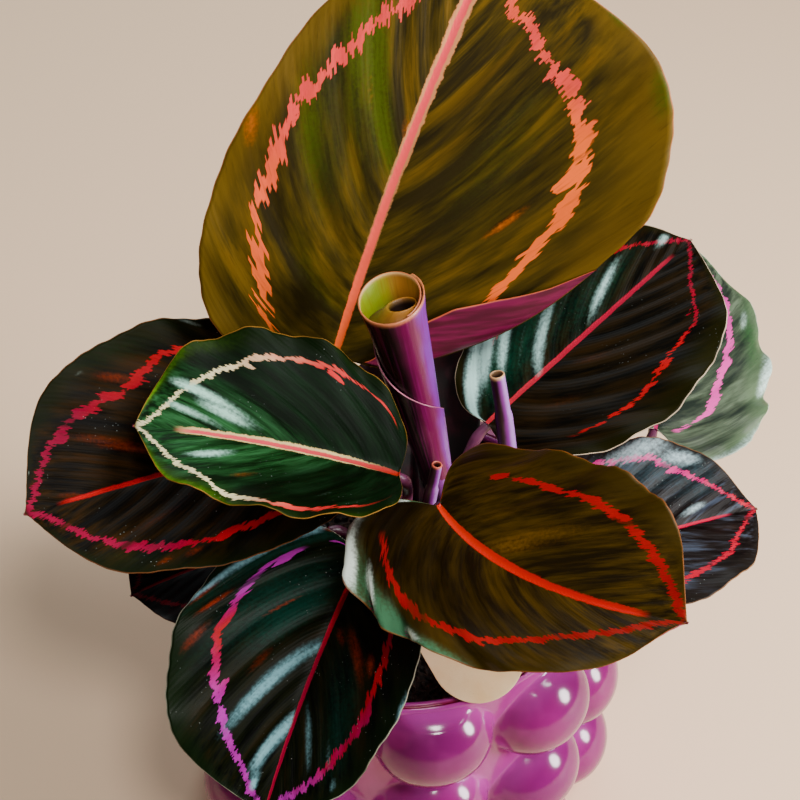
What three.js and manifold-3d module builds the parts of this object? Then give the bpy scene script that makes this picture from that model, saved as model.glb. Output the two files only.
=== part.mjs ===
// A rose-painted calathea in a glazed bubble-relief cover pot.
// Millimetres, +Z up, front at -Y, origin at the centre of the pot's flat base.

import * as THREE from "three";
import { mergeVertices } from "three/addons/utils/BufferGeometryUtils.js";
import Module from "manifold-3d";

const wasm = await Module();
wasm.setup();

// Cover pot
const potHeight = 130;
const potRadiusTop = 68.6;
const potRadiusBottom = 66.5;
const potBaseRadius = 60;
const potMouthRadius = 64.4;
const potInnerBottomRadius = 60;
const potFloor = 4.3;
const bubbleColumns = 10;
const bubblePitch = 40.2;
const bubbleFirstAngle = 9.6;
const bubbleFirstHeight = 111;
const bubbleStagger = 6.7;
const bubbleHalfWidth = 21;
const bubbleHalfHeight = 19;
const bubbleBulge = 14.8;
const rowsPerBubble = 6;

// Nursery pot and potting mix
const clearance = 0.3;
const nurseryTop = 122;
const nurseryWall = 1.2;
const nurseryRadiusTop = 61.5;
const nurseryRadiusBottom = 50;
const nurseryRimRadius = 63.5;
const soilTop = 115;
const soilCrown = 2.5;
const holeBottom = 104;

// Leaves: one blade, its midrib and its stalk are one body each
const bladeThickness = 0.7;
const bladeRows = 14;
const bladeStops = [0, 0.3, 0.6, 0.84, 1];
const ribStart = 1.7;
const ribEnd = 0.5;
const stalkSides = 6;

const leaves = [
  {
    name: "leaf_1", root: [4, 13], base: [-22.1, 32.2, 193.9], heading: 38.8, rise: 69.7, roll: 60.3,
    length: 149.5, width: 138.5, arch: 8, sweep: -11, fold: 2, cupLeft: 7, cupRight: 12, lobe: 0.035,
    liftLeft: 0.03, liftRight: -0.02, twist: -7, skew: 0.114, wider: -0.184,
    wave: 1.2, waves: 5, curlRight: 105, approach: 0.22, stalk: 2.9,
  },
  {
    name: "leaf_2", root: [-3, 7], base: [-27.3, 19.5, 171.0], heading: 216.6, rise: 15.3, roll: -22.3,
    length: 109, width: 91.5, arch: 10, sweep: -3.5, fold: 8, cupLeft: 16, cupRight: 17, lobe: 0.076,
    liftLeft: 0.03, liftRight: 0.02, twist: -1, skew: 0, wider: -0.088,
    wave: 1.2, waves: 5, curlRight: 0, approach: 0.26, stalk: 2.3,
  },
  {
    name: "leaf_3", root: [0, 2], base: [-0.3, -22.3, 192.9], heading: 175.7, rise: 18.8, roll: -0.9,
    length: 85, width: 72, arch: 12, sweep: 4, fold: 9.5, cupLeft: 9, cupRight: 22, lobe: 0.03,
    liftLeft: 0.05, liftRight: -0.02, twist: -6.5, skew: 0.016, wider: -0.074,
    wave: 1.8, waves: 6, curlRight: 0, approach: 0.1, stalk: 2.1,
  },
  {
    name: "leaf_4", root: [-8, -13], base: [-12.8, -21.1, 150.4], heading: 245.3, rise: -16.3, roll: 3.6,
    length: 90, width: 84, arch: 21, sweep: 2, fold: 6, cupLeft: 12, cupRight: 14.5, lobe: 0.09,
    liftLeft: 0.03, liftRight: -0.03, twist: -1, skew: 0.018, wider: -0.137,
    wave: 1.4, waves: 5, curlRight: 0, approach: 0.26, stalk: 2.2,
  },
  {
    name: "leaf_5", root: [14, -13], base: [12.7, -23.0, 178.7], heading: 292.3, rise: 9.6, roll: 21.7,
    length: 93, width: 81.5, arch: 4, sweep: 48, fold: 9, cupLeft: 14, cupRight: 2, lobe: 0.17,
    liftLeft: 0.02, liftRight: 0.09, twist: -2, skew: -0.125, wider: 0.01,
    wave: 1.8, waves: 6, curlRight: 0, approach: 0.1, stalk: 2.2,
  },
  {
    name: "leaf_6", root: [19, 14], base: [30.2, 21.4, 172.7], heading: 36.0, rise: 23.8, roll: 2.8,
    length: 99, width: 81, arch: 5, sweep: 2.5, fold: 4, cupLeft: 10, cupRight: 2, lobe: 0.041,
    liftLeft: 0.016, liftRight: 0.088, twist: 5, skew: -0.015, wider: -0.153,
    wave: 1.5, waves: 6, curlRight: 0, approach: 0.24, stalk: 2.2,
  },
  {
    name: "leaf_7", root: [29, 6], base: [89.7, 25.2, 166.2], heading: 75.8, rise: 9.8, roll: 23.0,
    length: 96, width: 78, arch: 10, sweep: -2.5, fold: 4, cupLeft: 8, cupRight: 0, lobe: 0.086,
    liftLeft: 0.03, liftRight: 0.044, twist: 3, skew: -0.077, wider: -0.017,
    wave: 2, waves: 6, curlRight: 0, approach: 0.3, stalk: 2.2,
  },
  {
    name: "leaf_8", root: [31, -16], base: [39.7, -33.9, 155.4], heading: 16.0, rise: 12.3, roll: 6.8,
    length: 85.5, width: 70, arch: 17, sweep: 1.5, fold: 7, cupLeft: 11, cupRight: 10.5, lobe: 0.1,
    liftLeft: 0.03, liftRight: 0.03, twist: -0.5, skew: -0.02, wider: 0.04,
    wave: 1.4, waves: 5, curlRight: 0, approach: 0.26, stalk: 2.1,
  },
  {
    name: "leaf_9", root: [-10, 0], base: [-25, 0, 141.5], heading: 199.6, rise: 5, roll: -14,
    length: 72, width: 59, arch: 22, sweep: 4.5, fold: 8, cupLeft: 8, cupRight: 9.5, lobe: 0.08,
    liftLeft: 0.03, liftRight: 0.03, twist: -1.5, skew: 0.055, wider: -0.02,
    wave: 1.2, waves: 5, curlRight: 0, approach: 0.3, stalk: 2,
  },
];

// New leaves, still rolled
const rolledLeaf = {
  name: "spear_1", root: [24, -8], lean: [-0.2276, 0.2368, 0.9445], stem: 33, length: 119,
  bottomRadius: 4.2, topRadius: 11, turns: 1.3, step: 1.7, margin: 200, drift: 150, slant: 4,
};
const closedSpears = [
  { name: "spear_2", root: [40, -4], top: [31.7, 8.4, 207.3], bow: [4, -2], radius: 2.9, mouth: 2.5, pit: 7 },
  { name: "spear_3", root: [5, -9], top: [12.3, -7, 181], bow: [-1, 0], radius: 2.3, mouth: 1.8, pit: 4 },
];

// Plant label
const tagWidth = 31;
const tagLength = 44;
const tagThickness = 0.8;
const tagFoot = [25.4, -51.9, 137.25];
const tagLean = 30;
const tagTurn = 30;

const colours = {
  glaze: 0xbe50a0, nursery: 0x141414, soil: 0x2b2018, label: 0xe9dccb,
  olive: 0x4f3d12, dark: 0x1c2416, green: 0x3f6b2c, grey: 0x6f8a7c, spear: 0x8a5a9a,
};

const degrees = Math.PI / 180;

function blend(low, high, value) {
  const x = Math.min(1, Math.max(0, (value - low) / (high - low)));
  return x * x * (3 - 2 * x);
}

function material(colour, roughness) {
  return new THREE.MeshStandardMaterial({ color: colour, roughness, metalness: 0 });
}

function toSolid(geometry) {
  const plain = geometry.clone();
  for (const name of Object.keys(plain.attributes)) {
    if (name !== "position") plain.deleteAttribute(name);
  }
  const merged = mergeVertices(plain, 1e-4);
  return new wasm.Manifold(new wasm.Mesh({
    numProp: 3,
    vertProperties: new Float32Array(merged.attributes.position.array),
    triVerts: new Uint32Array(merged.index.array),
  }));
}

function toGeometry(solid) {
  const mesh = solid.getMesh();
  const geometry = new THREE.BufferGeometry();
  geometry.setAttribute("position", new THREE.BufferAttribute(mesh.vertProperties, 3));
  geometry.setIndex(new THREE.BufferAttribute(mesh.triVerts, 1));
  geometry.computeVertexNormals();
  return geometry;
}

function indexedGeometry(points, faces) {
  const geometry = new THREE.BufferGeometry();
  const flat = points.flatMap((point) => [point.x, point.y, point.z]);
  geometry.setAttribute("position", new THREE.Float32BufferAttribute(flat, 3));
  geometry.setIndex(faces);
  geometry.computeVertexNormals();
  return geometry;
}

function lathe(profile, segments, firstAngle = 0) {
  const points = profile.map(([radius, height]) => new THREE.Vector2(radius, height));
  const geometry = new THREE.LatheGeometry(points, segments, firstAngle);
  geometry.rotateX(Math.PI / 2);
  return geometry;
}

// ---- Cover pot ----

function bubbleHeight(angle, z) {
  const capRadius = (bubbleHalfWidth ** 2 + bubbleBulge ** 2) / (2 * bubbleBulge);
  let height = 0;
  for (let column = 0; column < bubbleColumns; column += 1) {
    const centre = (bubbleFirstAngle + column * 360 / bubbleColumns) * degrees;
    const turn = Math.atan2(Math.sin(angle - centre), Math.cos(angle - centre));
    const across = turn * potRadiusTop / bubbleHalfWidth;
    for (let row = 0; row < 3; row += 1) {
      const middle = bubbleFirstHeight - row * bubblePitch - (column % 2) * bubbleStagger;
      const up = (z - middle) / bubbleHalfHeight;
      const reach = bubbleHalfWidth * Math.hypot(across, up);
      if (reach < bubbleHalfWidth) {
        const cap = Math.sqrt(capRadius ** 2 - reach ** 2) - (capRadius - bubbleBulge);
        height = Math.max(height, cap);
      }
    }
  }
  return height * blend(0.5, 7, z);
}

function coverPot() {
  const outer = [];
  const rowHeight = bubblePitch / rowsPerBubble;
  for (let row = 16; row >= -2; row -= 1) {
    const z = bubbleFirstHeight - row * rowHeight;
    const flare = potRadiusBottom + (potRadiusTop - potRadiusBottom) * z / potHeight;
    outer.push([flare - 4 * (1 - blend(0, 9, z)), z]);
  }
  const profile = [
    [0, 0], [potBaseRadius, 0], ...outer,
    [potRadiusTop + 0.3, potHeight - 2], [potRadiusTop - 0.5, potHeight - 0.5],
    [(potRadiusTop + potMouthRadius) / 2, potHeight], [potMouthRadius + 0.5, potHeight - 0.5],
    [potMouthRadius, potHeight - 2], [potMouthRadius - 0.4, potHeight - 16],
    [potInnerBottomRadius + 1, potFloor + 6], [potInnerBottomRadius - 2, potFloor], [0, potFloor],
  ];
  const geometry = lathe(profile, bubbleColumns * 6, bubbleFirstAngle * degrees);
  const position = geometry.attributes.position;
  for (let i = 0; i < position.count; i += 1) {
    const ring = i % profile.length;
    if (ring > 1 && ring < outer.length + 2) {
      const x = position.getX(i);
      const y = position.getY(i);
      const bulge = bubbleHeight(Math.atan2(x, -y), position.getZ(i));
      const grown = 1 + bulge / Math.hypot(x, y);
      position.setXY(i, x * grown, y * grown);
    }
  }
  return toGeometry(toSolid(geometry));
}

// ---- Nursery pot and potting mix ----

function nurseryOuter(z) {
  const share = (z - potFloor - clearance) / (nurseryTop - potFloor - clearance);
  return nurseryRadiusBottom + (nurseryRadiusTop - nurseryRadiusBottom) * share;
}

function nurseryPot() {
  const foot = potFloor + clearance;
  return lathe([
    [0, foot], [nurseryRadiusBottom, foot], [nurseryOuter(nurseryTop - 5), nurseryTop - 5],
    [nurseryRimRadius, nurseryTop - 4.5], [nurseryRimRadius, nurseryTop - 0.5],
    [nurseryRimRadius - 0.6, nurseryTop], [nurseryRadiusTop - nurseryWall, nurseryTop],
    [nurseryRadiusBottom - nurseryWall, foot + nurseryWall], [0, foot + nurseryWall],
  ], 40);
}

function holeFor(root, radius) {
  const depth = soilTop + 10 - holeBottom;
  const sides = 8;
  const reach = (radius + clearance) / Math.cos(Math.PI / sides);
  const hole = new THREE.CylinderGeometry(reach, reach, depth, sides);
  hole.rotateX(Math.PI / 2);
  hole.translate(root[0], root[1], holeBottom + depth / 2);
  return toSolid(hole);
}

function soil(holes) {
  const foot = potFloor + 2 * clearance + nurseryWall;
  const gap = nurseryWall + clearance;
  const edge = nurseryOuter(soilTop) - gap - 0.15;
  let solid = toSolid(lathe([
    [0, foot], [nurseryRadiusBottom - gap, foot], [edge, soilTop],
    [edge * 0.72, soilTop + soilCrown * 0.7], [edge * 0.4, soilTop + soilCrown], [0, soilTop + soilCrown],
  ], 40));
  for (const hole of holes) {
    solid = solid.subtract(holeFor(hole.root, hole.radius));
  }
  return toGeometry(solid);
}

// ---- Leaf blade ----
// A blade is drawn in vein coordinates: t picks a side vein from base to tip,
// and u runs along that vein from the midrib (0) to the margin (1).

function veinPoint(leaf, t, u, side) {
  const phase = Math.PI * t;
  const halfWidth = leaf.width / 2 * (1 + side * leaf.wider);
  const fullness = 0.85 + 1.15 * blend(0.72, 1, t);
  const edgeX = halfWidth * Math.abs(Math.sin(phase)) ** fullness * (1 + 0.08 * Math.cos(phase));
  const lobeDrop = 5.8 * leaf.lobe * Math.sin(phase) * (1 - t) ** 6;
  const edgeY = leaf.length * ((1 - Math.cos(phase)) / 2 - lobeDrop);
  const rootY = leaf.length * ((1 - Math.cos(phase)) / 2) ** 1.5;
  const middleY = rootY + 0.25 * (edgeY - rootY);
  const along = (1 - u) ** 2 * rootY + 2 * u * (1 - u) * middleY + u * u * edgeY;
  const shear = 1.3 * side * leaf.skew * leaf.length * Math.sin(phase) ** 2 * u * u;
  return { x: u * edgeX, y: along - shear, edgeX };
}

function leafAxes(leaf) {
  const heading = leaf.heading * degrees;
  const rise = leaf.rise * degrees;
  const roll = leaf.roll * degrees;
  const along = new THREE.Vector3(
    Math.cos(heading) * Math.cos(rise), Math.sin(heading) * Math.cos(rise), Math.sin(rise));
  const level = new THREE.Vector3(-Math.sin(heading), Math.cos(heading), 0);
  const up = along.clone().cross(level);
  const left = level.clone().multiplyScalar(Math.cos(roll)).addScaledVector(up, Math.sin(roll));
  const face = up.clone().multiplyScalar(Math.cos(roll)).addScaledVector(level, -Math.sin(roll));
  return { along, left, face };
}

// How far a point x from the midrib lies sideways and above, on the cupped cross-section.
function crossSection(leaf, x, edgeX, t, side) {
  const fold = leaf.fold * degrees;
  const cup = (side > 0 ? leaf.cupLeft : leaf.cupRight) * degrees / (leaf.width / 2) + 1e-7;
  const curlAngle = side > 0 ? 0 : leaf.curlRight * degrees * (1 - blend(0.2, 0.46, t));
  const curlStart = edgeX * 0.78;
  const inner = Math.min(x, curlStart);
  const angle = fold + cup * inner;
  let sideways = (Math.sin(angle) - Math.sin(fold)) / cup;
  let above = (Math.cos(fold) - Math.cos(angle)) / cup;
  if (x > curlStart && edgeX > 0) {
    const bend = cup + curlAngle / (edgeX - curlStart);
    const outer = angle + bend * (x - curlStart);
    sideways += (Math.sin(outer) - Math.sin(angle)) / bend;
    above += (Math.cos(angle) - Math.cos(outer)) / bend;
  }
  return { sideways, above };
}

function bladePoint(leaf, t, u, side) {
  const { along, left, face } = leafAxes(leaf);
  const { x, y, edgeX } = veinPoint(leaf, t, u, side);
  const section = crossSection(leaf, x, edgeX, t, side);
  const forward = Math.max(y, 0);
  const bend = leaf.arch * degrees / leaf.length + 1e-7;
  const sweep = leaf.sweep * degrees / leaf.length;
  const lift = side > 0 ? leaf.liftLeft : leaf.liftRight;
  const raised = lift * leaf.length * (2 * x / leaf.width) ** 2 * (1 - blend(0.05, 0.5, t));
  const ripple = leaf.wave * u ** 4 * Math.sin(2 * Math.PI * leaf.waves * t + side) * Math.sin(Math.PI * t);
  const above = section.above + raised + ripple;
  const sideways = side * section.sideways;
  const twist = leaf.twist * degrees * forward / leaf.length;
  const across = sideways * Math.cos(twist) - above * Math.sin(twist);
  const height = sideways * Math.sin(twist) + above * Math.cos(twist);
  const bendAngle = bend * forward;
  const sweepAngle = sweep * forward;
  const travel = Math.sin(bendAngle) / bend + Math.min(y, 0);
  const drop = -(1 - Math.cos(bendAngle)) / bend;
  const forwardAxis = along.clone().multiplyScalar(Math.cos(bendAngle));
  forwardAxis.addScaledVector(face, -Math.sin(bendAngle));
  const faceAxis = along.clone().multiplyScalar(Math.sin(bendAngle));
  faceAxis.addScaledVector(face, Math.cos(bendAngle));
  const point = new THREE.Vector3(...leaf.base);
  point.addScaledVector(along, travel);
  point.addScaledVector(face, drop);
  point.addScaledVector(left, 0.5 * sweep * forward * forward + across * Math.cos(sweepAngle));
  point.addScaledVector(forwardAxis, -across * Math.sin(sweepAngle));
  point.addScaledVector(faceAxis, height);
  return point;
}

function bladeNormal(leaf, t, u, side) {
  const small = 0.004;
  const alongVein = bladePoint(leaf, t, Math.min(1, u + small), side)
    .sub(bladePoint(leaf, t, Math.max(0, u - small), side));
  const alongRib = bladePoint(leaf, Math.min(1, t + small), u, side)
    .sub(bladePoint(leaf, Math.max(0, t - small), u, side));
  return alongRib.cross(alongVein).multiplyScalar(side).normalize();
}

// Upper and lower faces share one grid, so both are split into triangles alike.
function bladeGeometry(leaf) {
  const columns = [];
  for (let i = bladeStops.length - 1; i > 0; i -= 1) columns.push([bladeStops[i], 1]);
  for (const stop of bladeStops) columns.push([stop, -1]);
  const upper = [];
  const lower = [];
  const add = (t, u, side) => {
    const point = bladePoint(leaf, t, u, side);
    const normal = bladeNormal(leaf, t, u, side);
    if (u === 0) normal.add(bladeNormal(leaf, t, u, -side)).normalize();
    upper.push(point);
    lower.push(point.clone().addScaledVector(normal, -bladeThickness));
  };
  add(0.012, 0, -1);
  for (let row = 1; row < bladeRows; row += 1) {
    for (const [u, side] of columns) add(0.03 + 0.94 * (row - 0.5) / (bladeRows - 1), u, side);
  }
  add(0.99, 0, -1);
  const width = columns.length;
  const tip = upper.length - 1;
  const offset = upper.length;
  const at = (row, column) => 1 + (row - 1) * width + column;
  const faces = [];
  const pair = (a, b, c) => {
    faces.push(a, b, c);
    faces.push(offset + a, offset + c, offset + b);
  };
  const wall = (a, b) => {
    faces.push(a, offset + a, b);
    faces.push(b, offset + a, offset + b);
  };
  for (let column = 0; column < width - 1; column += 1) {
    pair(0, at(1, column + 1), at(1, column));
    pair(tip, at(bladeRows - 1, column), at(bladeRows - 1, column + 1));
    for (let row = 1; row < bladeRows - 1; row += 1) {
      const a = at(row, column);
      const b = at(row, column + 1);
      const c = at(row + 1, column + 1);
      const d = at(row + 1, column);
      if (column < width / 2 - 1) {
        pair(a, b, d);
        pair(b, c, d);
      } else {
        pair(a, b, c);
        pair(a, c, d);
      }
    }
  }
  wall(at(1, 0), 0);
  wall(0, at(1, width - 1));
  wall(tip, at(bladeRows - 1, 0));
  wall(at(bladeRows - 1, width - 1), tip);
  for (let row = 1; row < bladeRows - 1; row += 1) {
    wall(at(row + 1, 0), at(row, 0));
    wall(at(row, width - 1), at(row + 1, width - 1));
  }
  return indexedGeometry([...upper, ...lower], faces);
}

// ---- Stalks, ribs and rolled leaves ----

// A closed tube through the given points, with its own radius at each of them.
function taperedTube(points, radii, sides) {
  const rings = [];
  const faces = [];
  let across = new THREE.Vector3(1, 0, 0);
  points.forEach((point, i) => {
    const before = points[Math.max(0, i - 1)];
    const after = points[Math.min(points.length - 1, i + 1)];
    const direction = after.clone().sub(before).normalize();
    across = across.clone().addScaledVector(direction, -across.dot(direction)).normalize();
    const other = direction.clone().cross(across);
    for (let k = 0; k < sides; k += 1) {
      const angle = 2 * Math.PI * k / sides;
      const corner = point.clone().addScaledVector(across, radii[i] * Math.cos(angle));
      rings.push(corner.addScaledVector(other, radii[i] * Math.sin(angle)));
    }
  });
  for (let i = 0; i < points.length - 1; i += 1) {
    for (let k = 0; k < sides; k += 1) {
      const a = i * sides + k;
      const b = i * sides + (k + 1) % sides;
      faces.push(a, b, b + sides, a, b + sides, a + sides);
    }
  }
  const last = (points.length - 1) * sides;
  for (let k = 1; k < sides - 1; k += 1) {
    faces.push(0, k + 1, k);
    faces.push(last, last + k, last + k + 1);
  }
  return indexedGeometry(rings, faces);
}

function stalkPath(leaf) {
  const [x, y] = leaf.root;
  const base = new THREE.Vector3(...leaf.base);
  const { along, face } = leafAxes(leaf);
  const start = new THREE.Vector3(x, y, soilTop + 4);
  const reach = base.distanceTo(start);
  const end = base.clone().addScaledVector(face, -ribStart);
  const rise = new THREE.Vector3(x, y, soilTop + 4 + reach * 0.42);
  const arrive = end.clone().addScaledVector(along, -reach * leaf.approach);
  const curve = new THREE.CubicBezierCurve3(start, rise, arrive, end);
  return { curve, foot: new THREE.Vector3(x, y, holeBottom + clearance) };
}

function leafStalk(leaf) {
  const { curve, foot } = stalkPath(leaf);
  const points = [foot];
  const radii = [leaf.stalk];
  const stalkSteps = 8;
  for (let i = 0; i < stalkSteps; i += 1) {
    const share = i / stalkSteps;
    points.push(curve.getPoint(share));
    radii.push(leaf.stalk + (ribStart - leaf.stalk) * blend(0.1, 0.75, share));
  }
  const ribSteps = 7;
  for (let i = 0; i <= ribSteps; i += 1) {
    const share = i / ribSteps;
    const t = 0.1 + 0.72 * share;
    const radius = ribStart + (ribEnd - ribStart) * share;
    const normal = bladeNormal(leaf, t, 0, 1).add(bladeNormal(leaf, t, 0, -1)).normalize();
    points.push(bladePoint(leaf, t, 0, 1).addScaledVector(normal, -radius - 0.12));
    radii.push(radius);
  }
  return taperedTube(points, radii, stalkSides);
}

function leafGeometry(leaf) {
  return toGeometry(toSolid(bladeGeometry(leaf)).add(toSolid(leafStalk(leaf))));
}

// A sheet rolled into a cone, with its outer margin winding down the side, on a solid stem.
function rolledGeometry(spear) {
  const axis = new THREE.Vector3(...spear.lean).normalize();
  const right = new THREE.Vector3(1, 0, 0).addScaledVector(axis, -axis.x).normalize();
  const back = axis.clone().cross(right);
  const start = new THREE.Vector3(spear.root[0], spear.root[1], soilTop + 3);
  const rows = 7;
  const around = 20;
  const place = (share, turn, inward) => {
    const angle = (spear.margin + spear.drift * (1 - share)) * degrees - turn * 2 * Math.PI;
    const cone = spear.bottomRadius + (spear.topRadius - spear.bottomRadius) * share ** 0.8;
    const radius = cone - spear.step * turn - inward;
    const slant = spear.slant * share * Math.sin(angle);
    const height = spear.stem + (spear.length - spear.stem) * share + slant;
    const point = start.clone().addScaledVector(axis, height);
    point.addScaledVector(right, radius * Math.cos(angle));
    return point.addScaledVector(back, radius * Math.sin(angle));
  };
  const points = [];
  for (const inward of [0, bladeThickness]) {
    for (let row = 0; row <= rows; row += 1) {
      for (let k = 0; k <= around; k += 1) {
        points.push(place(row / rows, spear.turns * k / around, inward));
      }
    }
  }
  const offset = points.length / 2;
  const at = (row, k) => row * (around + 1) + k;
  const faces = [];
  const pair = (a, b, c) => {
    faces.push(a, b, c);
    faces.push(offset + a, offset + c, offset + b);
  };
  const wall = (a, b) => {
    faces.push(a, offset + a, b);
    faces.push(b, offset + a, offset + b);
  };
  for (let row = 0; row < rows; row += 1) {
    for (let k = 0; k < around; k += 1) {
      pair(at(row, k), at(row + 1, k), at(row + 1, k + 1));
      pair(at(row, k), at(row + 1, k + 1), at(row, k + 1));
    }
    wall(at(row, 0), at(row + 1, 0));
    wall(at(row + 1, around), at(row, around));
  }
  for (let k = 0; k < around; k += 1) {
    wall(at(0, k + 1), at(0, k));
    wall(at(rows, k), at(rows, k + 1));
  }
  const sheet = toSolid(indexedGeometry(points, faces));
  const heights = [0, 0.3, 0.6, 0.8, 1.02];
  const stemPoints = [new THREE.Vector3(spear.root[0], spear.root[1], holeBottom + clearance)];
  const stemRadii = [3];
  for (const share of heights) {
    stemPoints.push(start.clone().addScaledVector(axis, spear.stem * share));
    stemRadii.push(3 + (spear.bottomRadius - 2.9) * share);
  }
  stemPoints.push(start.clone().addScaledVector(axis, spear.stem + 10));
  stemRadii.push(spear.bottomRadius - 0.3);
  return toGeometry(sheet.add(toSolid(taperedTube(stemPoints, stemRadii, 12))));
}

function closedSpearGeometry(spear) {
  const top = new THREE.Vector3(...spear.top);
  const foot = new THREE.Vector3(spear.root[0], spear.root[1], holeBottom + clearance);
  const start = new THREE.Vector3(spear.root[0], spear.root[1], soilTop + 4);
  const middle = start.clone().lerp(top, 0.5);
  middle.add(new THREE.Vector3(...spear.bow, 0));
  const curve = new THREE.QuadraticBezierCurve3(start, middle, top);
  const points = [foot];
  const radii = [spear.radius];
  for (const share of [0, 0.2, 0.4, 0.56, 0.6, 0.8, 1]) {
    points.push(curve.getPoint(share));
    const sheath = share < 0.58 ? 0.35 : 0;
    radii.push(spear.radius + (spear.mouth - spear.radius) * share + sheath);
  }
  const body = toSolid(taperedTube(points, radii, 10));
  const direction = curve.getTangent(1);
  const pitPoints = [-spear.pit, 2].map((reach) => top.clone().addScaledVector(direction, reach));
  const pit = toSolid(taperedTube(pitPoints, [0.4, spear.mouth - 0.4], 10));
  return toGeometry(body.subtract(pit));
}

// ---- Plant label ----

function tagGeometry() {
  const radius = tagWidth / 2;
  const far = tagLength - 2 * radius;
  const outline = new THREE.Shape();
  outline.moveTo(radius, 0);
  outline.lineTo(radius, far);
  outline.absarc(0, far, radius, 0, Math.PI, false);
  outline.lineTo(-radius, 0);
  outline.absarc(0, 0, radius, Math.PI, 2 * Math.PI, false);
  const geometry = new THREE.ExtrudeGeometry(outline, {
    depth: tagThickness, bevelEnabled: false, curveSegments: 14,
  });
  geometry.rotateZ(tagTurn * degrees);
  geometry.rotateX(tagLean * degrees);
  geometry.translate(...tagFoot);
  return toGeometry(toSolid(geometry));
}

// ---- Assembly ----

const leafColours = {
  leaf_1: colours.olive, leaf_2: colours.dark, leaf_3: colours.green, leaf_4: colours.dark,
  leaf_5: colours.olive, leaf_6: colours.dark, leaf_7: colours.grey, leaf_8: colours.dark,
  leaf_9: colours.dark,
};

const plant = new THREE.Group();

function place(name, geometry, colour, roughness) {
  const mesh = new THREE.Mesh(geometry, material(colour, roughness));
  mesh.name = name;
  plant.add(mesh);
}

const holes = [
  ...leaves.map((leaf) => ({ root: leaf.root, radius: leaf.stalk })),
  { root: rolledLeaf.root, radius: 3 },
  ...closedSpears.map((spear) => ({ root: spear.root, radius: spear.radius + 0.35 })),
];

place("pot", coverPot(), colours.glaze, 0.15);
place("grower_pot", nurseryPot(), colours.nursery, 0.6);
place("soil", soil(holes), colours.soil, 1);
for (const leaf of leaves) {
  place(leaf.name, leafGeometry(leaf), leafColours[leaf.name], 0.35);
}
place(rolledLeaf.name, rolledGeometry(rolledLeaf), colours.spear, 0.45);
for (const spear of closedSpears) {
  place(spear.name, closedSpearGeometry(spear), colours.spear, 0.45);
}
place("tag", tagGeometry(), colours.label, 0.8);

export default plant;
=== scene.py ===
"""A rose-painted calathea in a glazed bubble-relief cover pot, finished for viewing.

Sizes in the tables are millimetres, as in the part's own source; meshes are made in metres.
"""

import math

import bpy
import numpy as np
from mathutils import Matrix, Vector


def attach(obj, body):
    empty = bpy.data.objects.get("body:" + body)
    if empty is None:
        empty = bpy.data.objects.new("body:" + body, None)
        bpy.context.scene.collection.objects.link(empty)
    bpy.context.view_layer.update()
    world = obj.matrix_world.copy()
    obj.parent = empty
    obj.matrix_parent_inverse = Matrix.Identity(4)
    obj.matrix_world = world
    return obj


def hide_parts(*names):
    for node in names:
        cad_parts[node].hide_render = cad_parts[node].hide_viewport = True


MM = 0.001
DEGREES = math.pi / 180

# Cover pot
POT_HEIGHT = 130
POT_RADIUS_TOP = 68.6
POT_RADIUS_BOTTOM = 66.5
POT_BASE_RADIUS = 60
POT_MOUTH_RADIUS = 64.4
POT_INNER_BOTTOM_RADIUS = 60
POT_FLOOR = 4.3
POT_CENTRE_RADIUS = 6
POT_BASE_RECESS = 0.9
POT_FOOT_INSET = 4
POT_FOOT_HEIGHT = 9
WALL_BOTTOM = 0.4
WALL_TOP = POT_HEIGHT - 3.6
BUBBLE_COLUMNS = 10
BUBBLE_ROWS = 3
BUBBLE_PITCH = 40.2
BUBBLE_FIRST_ANGLE = 9.6
BUBBLE_FIRST_HEIGHT = 111
BUBBLE_STAGGER = 6.7
BUBBLE_HALF_WIDTH = 21
BUBBLE_HALF_HEIGHT = 19
BUBBLE_BULGE = 14.8
BUBBLE_FILLET = 2.6
LIP_GROOVE = 0.8
LIP_ROUND = 2.2
LIP_STEPS = 24
LIP_GROOVE_STEP = 10
POT_SIDES = 420
POT_WALL_ROWS = 150

# Potting mix
SOIL_TOP = 115
SOIL_DEPTH = 12
SOIL_CROWN = 2.5
SOIL_RADIUS = 59.0
SOIL_SIDES = 72
SOIL_RINGS = 24
CRUMB_COUNT = 2600
CRUMB_SIZE = 1.5
CRUMB_TURNS = ((0.0, 0.0, 0.0), (6.28, 6.28, 6.28), 11)
CRUMB_SHARES = ((0.4, 0.3, 0.3), (1.5, 1.0, 0.8), 12)

# Leaf blades
BLADE_ROWS = 150
BLADE_COLUMNS = 34
BLADE_THICKNESS = 0.55
PLEATS = 9
RIB_GROOVE = 0.5
RING_STATIONS = (0, 0.2, 0.35, 0.5, 0.6, 0.7, 0.8, 0.9, 1)
SCALLOP_PITCH = 0.15
FOLDED_LEAF = "leaf_1"
CREASE = ((0, 0.05, 0.085, 0.11, 0.15, 0.2, 0.25, 0.3, 0.35, 0.4, 0.44),
          (1, 1, 0.86, 0.74, 0.72, 0.77, 0.83, 0.88, 0.93, 0.975, 1))
FREE_MARGIN = ((0, 0.15, 0.3, 0.45, 0.6, 0.8, 1), (0.1, 0.22, 0.3, 0.342, 0.35, 0.356, 0.37),
               (0.3, 0.25, 0.32, 0.44, 0.6, 0.8, 0.95))
FOLD_RISE = 1.7
FOLD_THICKNESS = 0.4
FOLD_ROWS = 70
FOLD_COLUMNS = 18
# Soft patch kinds on the leaves: painted sheen for reflected window light, painted shade, green that is
# partly the leaf's own and partly a painted highlight, and rust and ring in the leaf's own colours.
MARK_KINDS = ("painted_sheen", "rust", "green_and_highlight", "painted_shade", "ring")

# Stalks: how deep their feet go, where they start to bend, and how thick they run under the midrib
STALK_FOOT = 8.0
STALK_START = 4.0
STALK_SIDES = 12
RIB_START = 1.7
RIB_END = 0.5
RIB_ROWS = 30
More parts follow.
